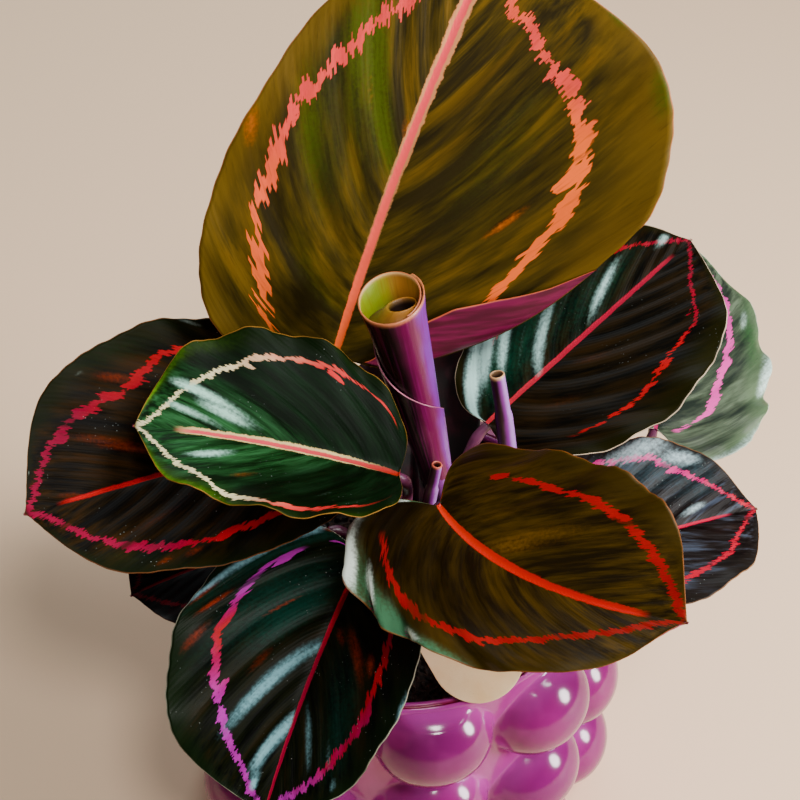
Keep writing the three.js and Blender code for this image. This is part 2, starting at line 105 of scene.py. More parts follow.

# Each leaf: its pose and outline, then how it is painted. Angles are degrees, and colours sRGB from 0 to
# 255. Lobe, lift, skew and wider are shares of the blade's length or width. The paint's values that end in
# _left and _right are given at RING_STATIONS, and its marks are told in marks().
# In each leaf's paint, the pale sheen colour and sheen patches are painted reflection of window light, and
# the darkest patches are painted shade.
LEAVES = [
    dict(
        name="leaf_1", root=(4, 13), base=(-22.1, 32.2, 193.9), heading=38.8, rise=69.7, roll=60.3,
        length=149.5, width=138.5, arch=8, sweep=-11, fold=2, cup_left=7, cup_right=12, lobe=0.035,
        lift_left=0.03, lift_right=-0.02, twist=-7, skew=0.114, wider=-0.184,
        wave=1.2, waves=5, approach=0.22, stalk=2.9,
        # Its golden olive colours are partly the leaf's own and partly painted light shining through it from
        # behind.
        paint=dict(
            dark=(36, 30, 0), mid=(62, 51, 0), light=(98, 74, 0), margin=(90, 70, 0), green=(62, 74, 2),
            streaks=0.75, pleat=0.9, ring_near=(236, 100, 34), ring_far=(206, 58, 60), ring_width=2.4,
            jag=4.4, ring_start=0.2, tint_left=(0, 0, 0.2, 0.5, 0.8, 0.9, 1, 1, 1),
            tint_right=(0, 0, 0, 0, 0.1, 0.8, 0.6, 0.5, 0.5),
            ring_left=(0.5, 0.55, 0.62, 0.73, 0.76, 0.6, 0.4, 0.2, 0.1),
            ring_right=(0.4, 0.5, 0.58, 0.68, 0.7, 0.6, 0.36, 0.2, 0.1), rib_near=(228, 92, 20),
            rib_far=(214, 64, 74), rib_edge=(196, 130, 84), ribs=(1.1, 2.0, 2.9), pale=(0.3, 0.75),
            rib_end=1.0, edge=(170, 104, 60), painted_sheen=(190, 200, 150), rust=(170, 84, 0), roughness=0.5,
            gloss=0.15, specks=0.0,
            green_and_highlight_marks=((1, 0.35, 0.5, 0.22, 0.5, 0.5), (-1, 0.3, 0.4, 0.2, 0.3, 0.4),
                        (1, 0.46, 0.28, 0.035, 0.35, 1.0), (1, 0.24, 0.56, 0.03, 0.25, 0.7),
                        (1, 0.4, 0.65, 0.05, 0.25, 0.6), (-1, 0.35, 1.0, 0.04, 0.06, 1.0),
                        (-1, 0.16, 0.98, 0.05, 0.06, 1.0), (1, 0.12, 0.2, 0.04, 0.3, 0.4)),
            rust_marks=((1, 0.54, 0.03, 0.02, 0.06, 0.8), (1, 0.11, 0.94, 0.02, 0.07, 0.9),
                        (-1, 0.33, 0.72, 0.04, 0.12, 0.25), (-1, 0.15, 0.48, 0.01, 0.06, 1.0),
                        (1, 0.17, 0.3, 0.02, 0.12, 0.25), (-1, 0.03, 0.75, 0.04, 0.2, 0.2),
                        (1, -0.03, 0.81, 0.03, 0.1, 0.25), (1, 0.43, 0.35, 0.012, 0.1, 0.5)),
            painted_shade_marks=((1, 0.33, 0.56, 0.03, 0.25, 0.45), (-1, 0.52, 0.2, 0.04, 0.25, 0.45),
                         (1, 0.25, 0.35, 0.03, 0.2, 0.7), (-1, 0.42, 0.4, 0.03, 0.3, 0.45),
                         (-1, 0.22, 0.25, 0.03, 0.25, 0.5), (1, 0.03, 0.5, 0.03, 0.2, 0.4)),
            ring_marks=((-1, 0.145, 0.66, 0.016, 0.05, 1.2), (-1, 0.19, 0.69, 0.03, 0.05, 1.0),
                        (-1, 0.09, 0.69, 0.03, 0.04, 1.0), (-1, 0.38, 0.53, 0.02, 0.04, 1.0),
                        (1, 0.21, 0.72, 0.02, 0.04, 1.0), (1, 0.16, 0.73, 0.015, 0.035, 1.0),
                        (1, 0.01, 0.61, 0.015, 0.03, 0.8)),
        ),
    ),
    dict(
        name="leaf_2", root=(-3, 7), base=(-27.3, 19.5, 171.0), heading=216.6, rise=15.3, roll=-22.3,
        length=109, width=91.5, arch=10, sweep=-3.5, fold=8, cup_left=16, cup_right=17, lobe=0.076,
        lift_left=0.03, lift_right=0.02, twist=-1, skew=0, wider=-0.088,
        wave=1.2, waves=5, approach=0.26, stalk=2.3,
        paint=dict(
            dark=(12, 9, 2), mid=(34, 25, 6), light=(64, 38, 8), margin=(20, 26, 8), green=(22, 38, 14),
            streaks=0.5, pleat=0.8, ring_near=(166, 2, 20), ring_far=(134, 6, 52), ring_width=1.5, jag=1.9,
            ring_start=0.2, tint_left=(0, 0, 0.2, 0.2, 0.5, 0.8, 1, 1, 1),
            tint_right=(0, 0, 0.2, 0.4, 0.3, 0.7, 1, 1, 1),
            ring_left=(0.5, 0.6, 0.64, 0.7, 0.75, 0.71, 0.57, 0.3, 0.2),
            ring_right=(0.5, 0.65, 0.75, 0.78, 0.64, 0.66, 0.63, 0.5, 0.2), rib_near=(190, 4, 24),
            rib_far=(186, 10, 20), rib_edge=(150, 10, 24), ribs=(0.9, 1.1, 0.9), pale=(0.5, 1.0),
            rib_end=0.84, edge=(96, 60, 34), painted_sheen=(150, 170, 160), rust=(128, 44, 2), roughness=0.5,
            gloss=0.05, specks=0.6,
            painted_sheen_marks=((-1, -0.11, 0.97, 0.02, 0.04, 0.6), (-1, 0.67, 0.92, 0.02, 0.04, 0.7),
                         (-1, 0.19, 0.9, 0.015, 0.03, 0.4)),
            rust_marks=((-1, 0.18, 0.75, 0.02, 0.1, 0.8), (-1, 0.44, 0.43, 0.025, 0.2, 0.55),
                        (-1, 0.47, 0.25, 0.03, 0.15, 0.7), (-1, 0.82, 0.06, 0.04, 0.08, 0.6),
                        (1, 0.39, 0.3, 0.04, 0.2, 0.3), (1, 0.42, 0.47, 0.03, 0.1, 0.3),
                        (1, 0.2, 0.83, 0.015, 0.05, 0.8), (1, 0.24, 0.89, 0.012, 0.05, 0.8)),
            green_and_highlight_marks=((-1, 0.1, 0.9, 0.1, 0.14, 0.7), (1, 0.35, 0.8, 0.15, 0.12, 0.5)),
            ring_marks=((-1, 0.19, 0.66, 0.03, 0.04, 1.0), (-1, 0.46, 0.58, 0.03, 0.05, 1.0),
                        (1, 0.17, 0.74, 0.012, 0.035, 1.0), (1, 0.34, 0.72, 0.03, 0.03, 0.8)),
        ),
    ),
    dict(
        name="leaf_3", root=(0, 2), base=(-0.3, -22.3, 192.9), heading=175.7, rise=18.8, roll=-0.9,
        length=85, width=72, arch=12, sweep=4, fold=9.5, cup_left=9, cup_right=22, lobe=0.03,
        lift_left=0.05, lift_right=-0.02, twist=-6.5, skew=0.016, wider=-0.074,
        wave=1.8, waves=6, approach=0.1, stalk=2.1,
        paint=dict(
            dark=(10, 28, 10), mid=(26, 64, 32), light=(60, 116, 72), margin=(40, 62, 8),
            green=(84, 130, 12), streaks=0.45, pleat=0.7, ring_near=(190, 40, 44),
            ring_far=(206, 196, 150), ring_width=1.0, jag=1.3, ring_start=0.16,
            tint_left=(0, 0, 0, 0.3, 0.9, 1, 1, 1, 1),
            tint_right=(0, 0, 0.1, 0.35, 0.6, 1, 1, 1, 1),
            ring_left=(0.5, 0.7, 0.82, 0.9, 0.9, 0.74, 0.6, 0.5, 0.2),
            ring_right=(0.5, 0.75, 0.77, 0.79, 0.74, 0.64, 0.48, 0.2, 0.1), rib_near=(150, 30, 14),
            rib_far=(206, 70, 80), rib_edge=(206, 180, 120), ribs=(0.7, 1.9, 1.2), pale=(0.2, 0.45),
            rib_end=0.8, edge=(140, 100, 44), painted_sheen=(160, 210, 190), rust=(160, 84, 20), roughness=0.45,
            gloss=0.05, specks=0.3,
            painted_sheen_marks=((-1, 0.46, 0.5, 0.035, 0.27, 1.4), (-1, 0.52, 0.24, 0.035, 0.12, 1.3),
                         (-1, 0.635, 0.3, 0.035, 0.22, 1.0), (1, 0.505, 0.36, 0.04, 0.12, 1.3),
                         (1, 0.08, 0.6, 0.01, 0.1, 0.3)),
            rust_marks=((1, 0.29, 0.55, 0.02, 0.08, 0.7),),
            painted_shade_marks=((-1, 0.06, 0.5, 0.28, 0.75, 2.2), (1, 0.03, 0.45, 0.22, 0.6, 2.0),
                         (-1, -0.05, 0.6, 0.1, 0.3, 1.0)),
            green_and_highlight_marks=((-1, 0.22, 0.97, 0.12, 0.13, 1.0), (-1, 0.6, 0.95, 0.25, 0.09, 0.9),
                        (1, 0.25, 1.0, 0.35, 0.1, 0.9), (-1, -0.1, 0.97, 0.06, 0.1, 0.5)),
            ring_marks=((-1, 0.21, 0.69, 0.012, 0.04, 1.0), (-1, 0.02, 0.72, 0.015, 0.04, 0.9),
                        (1, 0.07, 0.87, 0.02, 0.03, 1.0)),
        ),
    ),
    dict(
        name="leaf_4", root=(-8, -13), base=(-12.8, -21.1, 150.4), heading=245.3, rise=-16.3, roll=3.6,
        length=90, width=84, arch=21, sweep=2, fold=6, cup_left=12, cup_right=14.5, lobe=0.09,
        lift_left=0.03, lift_right=-0.03, twist=-1, skew=0.018, wider=-0.137,
        wave=1.4, waves=5, approach=0.26, stalk=2.2,
        paint=dict(
            dark=(6, 9, 4), mid=(20, 24, 8), light=(42, 30, 8), margin=(16, 30, 12), green=(6, 54, 44),
            streaks=0.45, pleat=0.9, ring_near=(170, 34, 160), ring_far=(170, 0, 18), ring_width=1.35,
            jag=1.7, ring_start=0.2, tint_left=(1, 1, 0.9, 0.9, 0.6, 0.8, 0.3, 0, 0),
            tint_right=(0, 0, 0, 0.85, 0.5, 0.1, 0, 0, 0),
            ring_left=(0.5, 0.55, 0.6, 0.65, 0.7, 0.63, 0.52, 0.4, 0.2),
            ring_right=(0.5, 0.57, 0.66, 0.71, 0.67, 0.57, 0.42, 0.45, 0.3), rib_near=(160, 2, 18),
            rib_far=(150, 10, 50), rib_edge=(170, 20, 60), ribs=(1.3, 0.9, 0.4), pale=(0.4, 0.8),
            rib_end=1.0, edge=(150, 150, 130), painted_sheen=(132, 190, 200), rust=(150, 44, 4), roughness=0.42,
            gloss=0.1, specks=0.7,
            painted_sheen_marks=((-1, 0.36, 0.25, 0.04, 0.3, 1.2), (-1, 0.65, 0.12, 0.05, 0.22, 1.3),
                         (-1, 0.74, 0.33, 0.04, 0.12, 1.1), (-1, -0.18, 0.95, 0.025, 0.12, 1.0),
                         (-1, -0.165, 0.78, 0.02, 0.1, 0.8), (1, 0.42, 0.56, 0.02, 0.12, 0.5),
                         (1, 0.39, 0.82, 0.02, 0.08, 0.6), (1, 0.07, 1.0, 0.03, 0.05, 0.9),
                         (1, 0.55, 0.25, 0.03, 0.2, 0.7)),
            rust_marks=((-1, -0.16, 0.94, 0.025, 0.06, 0.9), (-1, -0.05, 0.83, 0.02, 0.08, 0.9),
                        (-1, 0.03, 0.85, 0.02, 0.08, 0.7), (-1, 0.11, 0.38, 0.006, 0.1, 1.0),
                        (-1, 0.25, 0.38, 0.03, 0.08, 0.5), (1, 0.27, 0.13, 0.02, 0.08, 0.5),
                        (1, 0.22, 0.35, 0.03, 0.2, 0.7), (1, 0.165, 0.53, 0.02, 0.06, 0.8)),
            green_and_highlight_marks=((-1, 0.17, 0.27, 0.07, 0.22, 1.0), (-1, -0.13, 0.75, 0.06, 0.3, 0.8),
                        (-1, 0.05, 0.5, 0.1, 0.4, 0.8), (1, 0.35, 0.5, 0.15, 0.4, 0.7)),
            ring_marks=((-1, 0.04, 0.69, 0.03, 0.035, 1.2), (-1, -0.07, 0.58, 0.02, 0.04, 1.1),
                        (-1, 0.23, 0.6, 0.03, 0.04, 1.0)),
        ),
    ),
    dict(
        name="leaf_5", root=(14, -13), base=(12.7, -23.0, 178.7), heading=292.3, rise=9.6, roll=21.7,
        length=93, width=81.5, arch=4, sweep=48, fold=9, cup_left=14, cup_right=2, lobe=0.17,
        lift_left=0.02, lift_right=0.09, twist=-2, skew=-0.125, wider=0.01,
        wave=1.8, waves=6, ruffle=2.2, approach=0.1, stalk=2.2,
        # Its golden olive colours are partly the leaf's own and partly painted light shining through it from
        # behind.
        paint=dict(
            dark=(32, 24, 0), mid=(58, 44, 0), light=(90, 66, 0), margin=(64, 50, 0), green=(66, 118, 84),
            streaks=0.5, pleat=0.6, ring_near=(178, 3, 12), ring_far=(140, 14, 14), ring_width=1.45,
            jag=1.5, ring_start=0.24, tint_left=(0, 0, 0, 0, 0, 0.3, 0.6, 0.9, 1),
            tint_right=(0.6, 0.6, 0.7, 0.7, 0.5, 0.8, 1, 1, 1),
            ring_left=(0.4, 0.55, 0.64, 0.7, 0.74, 0.7, 0.66, 0.68, 0.5),
            ring_right=(0.5, 0.58, 0.67, 0.75, 0.74, 0.5, 0.32, 0.15, 0), rib_near=(238, 50, 0),
            rib_far=(196, 3, 4), rib_edge=(220, 14, 6), ribs=(0.65, 1.75, 1.2), pale=(0.5, 1.0),
            rib_end=0.84, edge=(120, 70, 30), painted_sheen=(220, 236, 222), rust=(116, 80, 0), roughness=0.45,
            gloss=0.15, specks=0.0,
            green_and_highlight_marks=((-1, -0.31, 1.0, 0.08, 0.14, 1.2), (-1, -0.15, 0.92, 0.08, 0.12, 1.2),
                        (-1, -0.05, 0.95, 0.06, 0.12, 1.2), (-1, 0.04, 1.0, 0.06, 0.1, 1.0)),
            painted_sheen_marks=((-1, -0.31, 0.96, 0.06, 0.11, 1.8), (-1, -0.25, 0.92, 0.02, 0.06, 1.4),
                         (-1, -0.15, 0.87, 0.03, 0.07, 1.8), (-1, 0.0, 0.94, 0.03, 0.05, 1.4)),
            rust_marks=((1, 0.29, 0.33, 0.05, 0.3, 0.6), (1, 0.33, 0.12, 0.05, 0.15, 0.6),
                        (1, 0.15, 0.3, 0.05, 0.3, 0.3)),
            painted_shade_marks=((-1, 0.12, 0.45, 0.3, 0.45, 0.5), (-1, -0.2, 0.5, 0.2, 0.4, 0.7)),
            ring_marks=((1, -0.03, 0.6, 0.025, 0.06, 1.2), (1, 0.05, 0.65, 0.02, 0.04, 0.9),
                        (1, 0.19, 0.73, 0.04, 0.04, 1.1), (1, 0.27, 0.74, 0.03, 0.04, 1.0),
                        (1, 0.42, 0.66, 0.04, 0.05, 0.7), (-1, 0.17, 0.76, 0.02, 0.03, 0.8)),
        ),
    ),
    dict(
        name="leaf_6", root=(19, 14), base=(30.2, 21.4, 172.7), heading=36.0, rise=23.8, roll=2.8,
        length=99, width=81, arch=5, sweep=2.5, fold=4, cup_left=10, cup_right=2, lobe=0.041,
        lift_left=0.016, lift_right=0.088, twist=5, skew=-0.015, wider=-0.153,
        wave=1.5, waves=6, approach=0.24, stalk=2.2,
        paint=dict(
            dark=(10, 9, 2), mid=(28, 21, 6), light=(46, 31, 8), margin=(30, 30, 4), green=(12, 60, 44),
            streaks=0.4, pleat=0.8, ring_near=(164, 3, 20), ring_far=(130, 8, 40), ring_width=0.85,
            jag=1.5, ring_start=0.3, tint_left=(0, 0, 0.5, 0.5, 0.5, 0.5, 0.8, 1, 1),
            tint_right=(0, 0, 0, 0, 0, 0.6, 0.8, 1, 1),
            ring_left=(0.5, 0.6, 0.65, 0.68, 0.66, 0.62, 0.53, 0.5, 0.3),
            ring_right=(0.5, 0.6, 0.69, 0.72, 0.66, 0.7, 0.47, 0.42, 0.3), rib_near=(190, 44, 56),
            rib_far=(160, 10, 50), rib_edge=(170, 30, 56), ribs=(0.8, 1.2, 0.8), pale=(0.5, 1.0),
            rib_end=0.85, edge=(196, 176, 150), painted_sheen=(170, 214, 206), rust=(70, 36, 8), roughness=0.45,
            gloss=0.05, specks=0.2,
            painted_sheen_marks=((1, 0.25, 0.3, 0.028, 0.3, 1.2), (1, 0.495, 0.28, 0.035, 0.2, 1.1),
                         (1, 0.0, 0.7, 0.05, 0.3, 1.3), (1, 0.1, 0.55, 0.022, 0.25, 1.2),
                         (1, 0.04, 0.64, 0.016, 0.2, 1.0), (1, -0.04, 0.5, 0.025, 0.25, 1.1),
                         (1, 0.75, 0.6, 0.05, 0.25, 0.9), (1, 0.17, 0.4, 0.01, 0.3, 0.35)),
            rust_marks=((-1, 0.31, 0.21, 0.03, 0.12, 0.6), (-1, 0.11, 0.31, 0.04, 0.12, 0.5)),
            green_and_highlight_marks=((1, 0.1, 0.5, 0.2, 0.5, 0.9), (1, 0.5, 0.3, 0.2, 0.4, 0.6)),
            ring_marks=((-1, 0.16, 0.7, 0.02, 0.035, 1.0), (-1, 0.1, 0.71, 0.015, 0.035, 1.0),
                        (-1, -0.01, 0.7, 0.02, 0.035, 1.0), (-1, 0.37, 0.61, 0.03, 0.03, 0.6)),
        ),
    ),
    dict(
        name="leaf_7", root=(29, 6), base=(89.7, 25.2, 166.2), heading=75.8, rise=9.8, roll=23.0,
        length=96, width=78, arch=10, sweep=-2.5, fold=4, cup_left=8, cup_right=0, lobe=0.086,
        lift_left=0.03, lift_right=0.044, twist=3, skew=-0.077, wider=-0.017,
        wave=2, waves=6, ruffle=0.8, approach=0.3, stalk=2.2,
        paint=dict(
            dark=(34, 42, 36), mid=(58, 68, 54), light=(98, 114, 92), margin=(84, 106, 76),
            green=(46, 82, 46), streaks=0.6, pleat=1.0, ring_near=(206, 60, 150),
            ring_far=(190, 50, 140), ring_width=1.5, jag=1.6, ring_start=0.15,
            tint_left=(0,) * 9, tint_right=(0, 0, 0, 0, 0.5, 1, 1, 1, 1),
            ring_left=(0.4, 0.5, 0.6, 0.6, 0.6, 0.6, 0.5, 0.4, 0.2),
            ring_right=(0.2, 0.28, 0.46, 0.52, 0.6, 0.6, 0.5, 0.4, 0.2), rib_near=(170, 30, 90),
            rib_far=(180, 50, 120), rib_edge=(170, 50, 110), ribs=(0.8, 0.9, 0.6), pale=(0.5, 1.0),
            rib_end=0.95, edge=(190, 196, 176), painted_sheen=(186, 214, 206), rust=(90, 100, 40),
            roughness=0.42, gloss=0.15, specks=0.0,
            painted_sheen_marks=((-1, 0.26, 0.81, 0.04, 0.08, 0.6), (-1, 0.03, 0.97, 0.06, 0.08, 1.3),
                         (-1, 0.55, 1.0, 0.08, 0.08, 0.8), (-1, -0.22, 0.99, 0.05, 0.08, 0.7)),
            green_and_highlight_marks=((-1, 0.2, 0.85, 0.15, 0.15, 0.8),),
            ring_marks=((-1, 0.07, 0.49, 0.05, 0.06, 1.0), (-1, 0.23, 0.61, 0.04, 0.05, 0.8)),
        ),
    ),
    dict(
        name="leaf_8", root=(31, -16), base=(39.7, -33.9, 155.4), heading=16.0, rise=12.3, roll=6.8,
        length=85.5, width=70, arch=17, sweep=1.5, fold=7, cup_left=11, cup_right=10.5, lobe=0.1,
        lift_left=0.03, lift_right=0.03, twist=-0.5, skew=-0.02, wider=0.04,
        wave=1.4, waves=5, approach=0.26, stalk=2.1,
        paint=dict(
            dark=(16, 9, 8), mid=(32, 26, 24), light=(76, 88, 106), margin=(32, 28, 24),
            green=(40, 60, 66), streaks=0.6, pleat=0.8, ring_near=(190, 34, 120), ring_far=(180, 8, 46),
            ring_width=1.0, jag=1.6, ring_start=0.15, tint_left=(0, 0, 0, 0, 0, 0.3, 0.7, 1, 1),
            tint_right=(1,) * 9,
            ring_left=(0.5, 0.7, 0.8, 0.82, 0.8, 0.66, 0.5, 0.35, 0.2),
            ring_right=(0.5, 0.65, 0.7, 0.72, 0.7, 0.66, 0.48, 0.35, 0.2), rib_near=(180, 10, 50),
            rib_far=(186, 16, 60), rib_edge=(180, 16, 60), ribs=(0.8, 0.9, 0.5), pale=(0.5, 1.0),
            rib_end=0.83, edge=(120, 84, 54), painted_sheen=(176, 204, 210), rust=(50, 26, 14), roughness=0.4,
            gloss=0.12, specks=0.9,
            painted_sheen_marks=((1, 0.14, 0.89, 0.06, 0.14, 1.0), (1, 0.63, 0.18, 0.04, 0.08, 0.9),
                         (1, 0.3, 0.84, 0.08, 0.12, 0.9)),
            green_and_highlight_marks=((1, 0.3, 0.7, 0.3, 0.35, 0.8), (1, 0.55, 0.4, 0.1, 0.2, 0.5)),
            rust_marks=((-1, 0.67, 0.31, 0.1, 0.2, 0.5),),
            ring_marks=((1, 0.33, 0.67, 0.03, 0.04, 1.0), (1, 0.21, 0.8, 0.03, 0.04, 0.8),
                        (-1, 0.39, 0.66, 0.04, 0.04, 1.0)),
        ),
    ),
    dict(
        name="leaf_9", root=(-10, 0), base=(-25, 0, 141.5), heading=199.6, rise=5, roll=-14,
        length=72, width=59, arch=22, sweep=4.5, fold=8, cup_left=8, cup_right=9.5, lobe=0.08,
        lift_left=0.03, lift_right=0.03, twist=-1.5, skew=0.055, wider=-0.02,
        wave=1.2, waves=5, approach=0.3, stalk=2,
        paint=dict(
            dark=(7, 6, 6), mid=(12, 9, 10), light=(26, 14, 14), margin=(16, 12, 12), green=(12, 20, 16),
            streaks=0.4, pleat=0.6, ring_near=(70, 4, 20), ring_far=(80, 6, 20), ring_width=0.9,
            jag=1.5, ring_start=0.15, tint_left=(0,) * 9,
            tint_right=(0,) * 9,
            ring_left=(0.5, 0.6, 0.66, 0.68, 0.68, 0.64, 0.5, 0.4, 0.2),
            ring_right=(0.5, 0.6, 0.66, 0.68, 0.68, 0.64, 0.5, 0.4, 0.2), rib_near=(90, 6, 20),
            rib_far=(90, 6, 20), rib_edge=(90, 6, 20), ribs=(0.8, 0.8, 0.5), pale=(0.5, 1.0),
            rib_end=0.9, edge=(70, 36, 24), painted_sheen=(110, 120, 120), rust=(80, 40, 20), roughness=0.4,
            gloss=0.08, specks=0.4,
        ),
    ),
]

# New leaves, still rolled
ROLL_ROWS = 90
ROLL_COLUMNS = 130
ROLL_SKINS = (0.05, 0.6)
ROLL_START = 3.0
HEART_SIDES = 48
STEM_SIDES = 24
SHOOT_SIDES = 28
ROLLED_LEAF = dict(
    name="spear_1", root=(24, -8), lean=(-0.2276, 0.2368, 0.9445), stem=33, length=119,
    bottom_radius=4.2, top_radius=11, turns=1.3, step=1.1, margin=45, drift=610, slant=4,
)
CLOSED_SPEARS = [
    dict(name="spear_2", root=(40, -4), top=(31.7, 8.4, 207.3), bow=(4, -2), radius=2.9, mouth=2.5, pit=7,
         finish="lavender shoot", lip=(206, 160, 110)),
    dict(name="spear_3", root=(5, -9), top=(12.3, -7, 181), bow=(-1, 0), radius=2.3, mouth=1.8, pit=4,
         finish="small purple shoot", lip=(196, 90, 70)),
]

# Two old sheaths behind the rolled leaf, nearly black with painted shade
SHEATH_LINES = [
    [(8, 20, 108), (14, 36, 146), (18, 62, 188)],
    [(-3, 22, 108), (-8, 36, 140), (-11, 56, 172)],
]
SHEATH_WIDTH = 28
SHEATH_HOLLOW = 12
SHEATH_THICKNESS = 0.7
SHEATH_ROWS = 40
SHEATH_COLUMNS = 16

# Plant label
TAG_WIDTH = 31
TAG_LENGTH = 44
TAG_THICKNESS = 0.8
TAG_FOOT = (25.4, -51.9, 137.25)
TAG_LEAN = 30
TAG_TURN = 30
TAG_STEPS = 40
TAG_EASE = 0.12
TAG_INSET = 0.1

# Floor
FLOOR_REACH = 2500
FLOOR_DROP = 0.4

# Camera and lights, placed in metres
CAMERA_PLACE = (0.0001, -0.3877, 0.5784)
CAMERA_PITCH = 46
CAMERA_LENS = 50
CAMERA_SENSOR = 24
ROOM_LIGHT = 0.14
LIGHTS = (
    dict(name="lower window", place=(0.95, -0.25, 0.44), aim=(0, 0, 0.12), width=0.3, height=0.42,
         power=17.0, colour=(1.0, 0.97, 0.95)),
    dict(name="upper window", place=(0.5, -0.1, 1.0), aim=(0, 0, 0.12), width=0.3, height=0.42,
         power=9.0, colour=(1.0, 0.98, 0.97)),
    dict(name="back sky", place=(-0.15, 0.95, 0.95), aim=(0, 0, 0.15), width=0.6, height=0.35,
         power=6.0, colour=(0.9, 0.97, 1.0)),
    dict(name="ceiling lamp", place=(0.2, -0.6, 1.2), aim=(0, 0, 0.1), width=0.22, height=0.22,
         power=7.0, colour=(1.0, 0.95, 0.9)),
)


# ---- Node trees ----

def tone(red, green, blue):
    """An sRGB colour from 0 to 255, as linear light."""
    return tuple((channel / 255) ** 2.2 for channel in (red, green, blue)) + (1.0,)


class Socket:
    """A node's output, so that node maths reads as ordinary arithmetic."""

    def __init__(self, owner, output):
        self.owner = owner
        self.output = output

    def math(self, operation, *values):
        return self.owner.node("ShaderNodeMath", {"operation": operation}, dict(enumerate(values)))

    def __add__(self, other):
        return self.math("ADD", self, other)

    def __sub__(self, other):
        return self.math("SUBTRACT", self, other)

    def __mul__(self, other):
        return self.math("MULTIPLY", self, other)

    def __truediv__(self, other):
        return self.math("DIVIDE", self, other)

    def __pow__(self, other):
        return self.math("POWER", self, other)

    def __radd__(self, other):
        return self.math("ADD", other, self)

    def __rsub__(self, other):
        return self.math("SUBTRACT", other, self)

    def __rmul__(self, other):
        return self.math("MULTIPLY", other, self)

    def __abs__(self):
        return self.math("ABSOLUTE", self)

    def sine(self):
        return self.math("SINE", self)

    def whole(self):
        return self.math("FLOOR", self)

    def most(self, other):
        return self.math("MAXIMUM", self, other)

    def least(self, other):
        return self.math("MINIMUM", self, other)

    def step(self, low, high):
        """0 below low, 1 above high, and a soft step in between."""
        settings = {"interpolation_type": "SMOOTHSTEP"}
        values = {"Value": self, "From Min": low, "From Max": high}
        return self.owner.node("ShaderNodeMapRange", settings, values)


class Tree:
    """Anything that holds a node tree, with one way to add a node to it."""

    def node(self, kind, settings, values, output=0):
        made = self.tree.nodes.new(kind)
        for setting, value in settings.items():
            setattr(made, setting, value)
        for key, value in values.items():
            socket = made.inputs[key]
            if isinstance(value, Socket):
                self.tree.links.new(value.output, socket)
            else:
                socket.default_value = value
        return Socket(self, made.outputs[output])


class Finish(Tree):
    """One material and its nodes."""

    def __init__(self, name):
        self.material = bpy.data.materials.new(name)
        self.material.use_nodes = True
        self.tree = self.material.node_tree
        self.tree.nodes.clear()

    def attribute(self, name):
        return self.node("ShaderNodeAttribute", {"attribute_name": name}, {}, "Fac")

    def place(self):
        return self.node("ShaderNodeTexCoord", {}, {}, "Object")

    def vector(self, x, y, z):
        return self.node("ShaderNodeCombineXYZ", {}, {"X": x, "Y": y, "Z": z})

    def noise(self, vector, scale, detail=2.0, roughness=0.5):
        values = {"Vector": vector, "Scale": scale, "Detail": detail, "Roughness": roughness}
        return self.node("ShaderNodeTexNoise", {}, values)

    def strokes(self, across, along, seed, detail=2.0, roughness=0.5):
        """Noise that follows a piece's own measures, such as side vein and reach."""
        return self.noise(self.vector(across, along, seed), 1.0, detail, roughness)

    def chance(self, x, y):
        """A number from 0 to 1 that is the same all over one cell."""
        settings = {"noise_dimensions": "2D"}
        return self.node("ShaderNodeTexWhiteNoise", settings, {"Vector": self.vector(x, y, 0.0)})

    def mix(self, factor, first, second):
        return self.node("ShaderNodeMix", {"data_type": "RGBA"}, {0: factor, 6: first, 7: second}, 2)

    def bump(self, height, distance, strength=1.0):
        values = {"Strength": strength, "Distance": distance, "Height": height}
        return self.node("ShaderNodeBump", {}, values)

    def surface(self, **values):
        """Ends the material in a Principled BSDF, which spells the index of refraction in capitals."""
        spelt = [key.replace("_", " ").title().replace("Ior", "IOR") for key in values]
        named = dict(zip(spelt, values.values()))
        shader = self.node("ShaderNodeBsdfPrincipled", {}, named)
        output = self.tree.nodes.new("ShaderNodeOutputMaterial")
        self.tree.links.new(shader.output, output.inputs["Surface"])
        return self.material


# ---- Mesh helpers ----

def new_piece(name, points, faces, materials, slots=None):
    """A smooth-shaded mesh from points in millimetres."""
    mesh = bpy.data.meshes.new(name)
    mesh.from_pydata((np.asarray(points, float) * MM).tolist(), [], faces)
    for material in materials:
        mesh.materials.append(material)
    if slots is not None:
        mesh.polygons.foreach_set("material_index", np.asarray(slots, np.int32))
    mesh.shade_smooth()
    mesh.update()
    piece = bpy.data.objects.new(name, mesh)
    bpy.context.scene.collection.objects.link(piece)
    return piece


def add_attribute(piece, name, values):
    """Stores one value for each point of a piece."""
    attribute = piece.data.attributes.new(name, "FLOAT", "POINT")
    attribute.data.foreach_set("value", np.asarray(values, np.float32))


def add_skin_attributes(piece, **grids):
    """Values given on a grid, stored alike on both skins of a thin sheet."""
    for name, values in grids.items():
        add_attribute(piece, name, np.tile(values.ravel(), 2))


def add_ring_attribute(piece, name, values, ends=(0.0, 0.0)):
    """One value for each point of a ringed solid, then one for the centre point of each end."""
    add_attribute(piece, name, np.concatenate([values, ends]))


def as_plain_mesh(piece):
    """Turns the result of a piece's modifiers into its own mesh."""
    bpy.context.view_layer.update()
    evaluated = piece.evaluated_get(bpy.context.evaluated_depsgraph_get())
    mesh = bpy.data.meshes.new_from_object(evaluated)
    piece.modifiers.clear()
    piece.data = mesh
    return piece


def dress_in_one(piece, material):
    """Leaves a mesh with one material and no spare slots."""
    piece.data.materials.clear()
    piece.data.materials.append(material)
    piece.data.polygons.foreach_set("material_index", np.zeros(len(piece.data.polygons), np.int32))


def settle(piece, slot, *nodes):
    """Puts a finished piece on the part's one body."""
    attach(piece, "root")
    if nodes:
        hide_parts(*nodes)


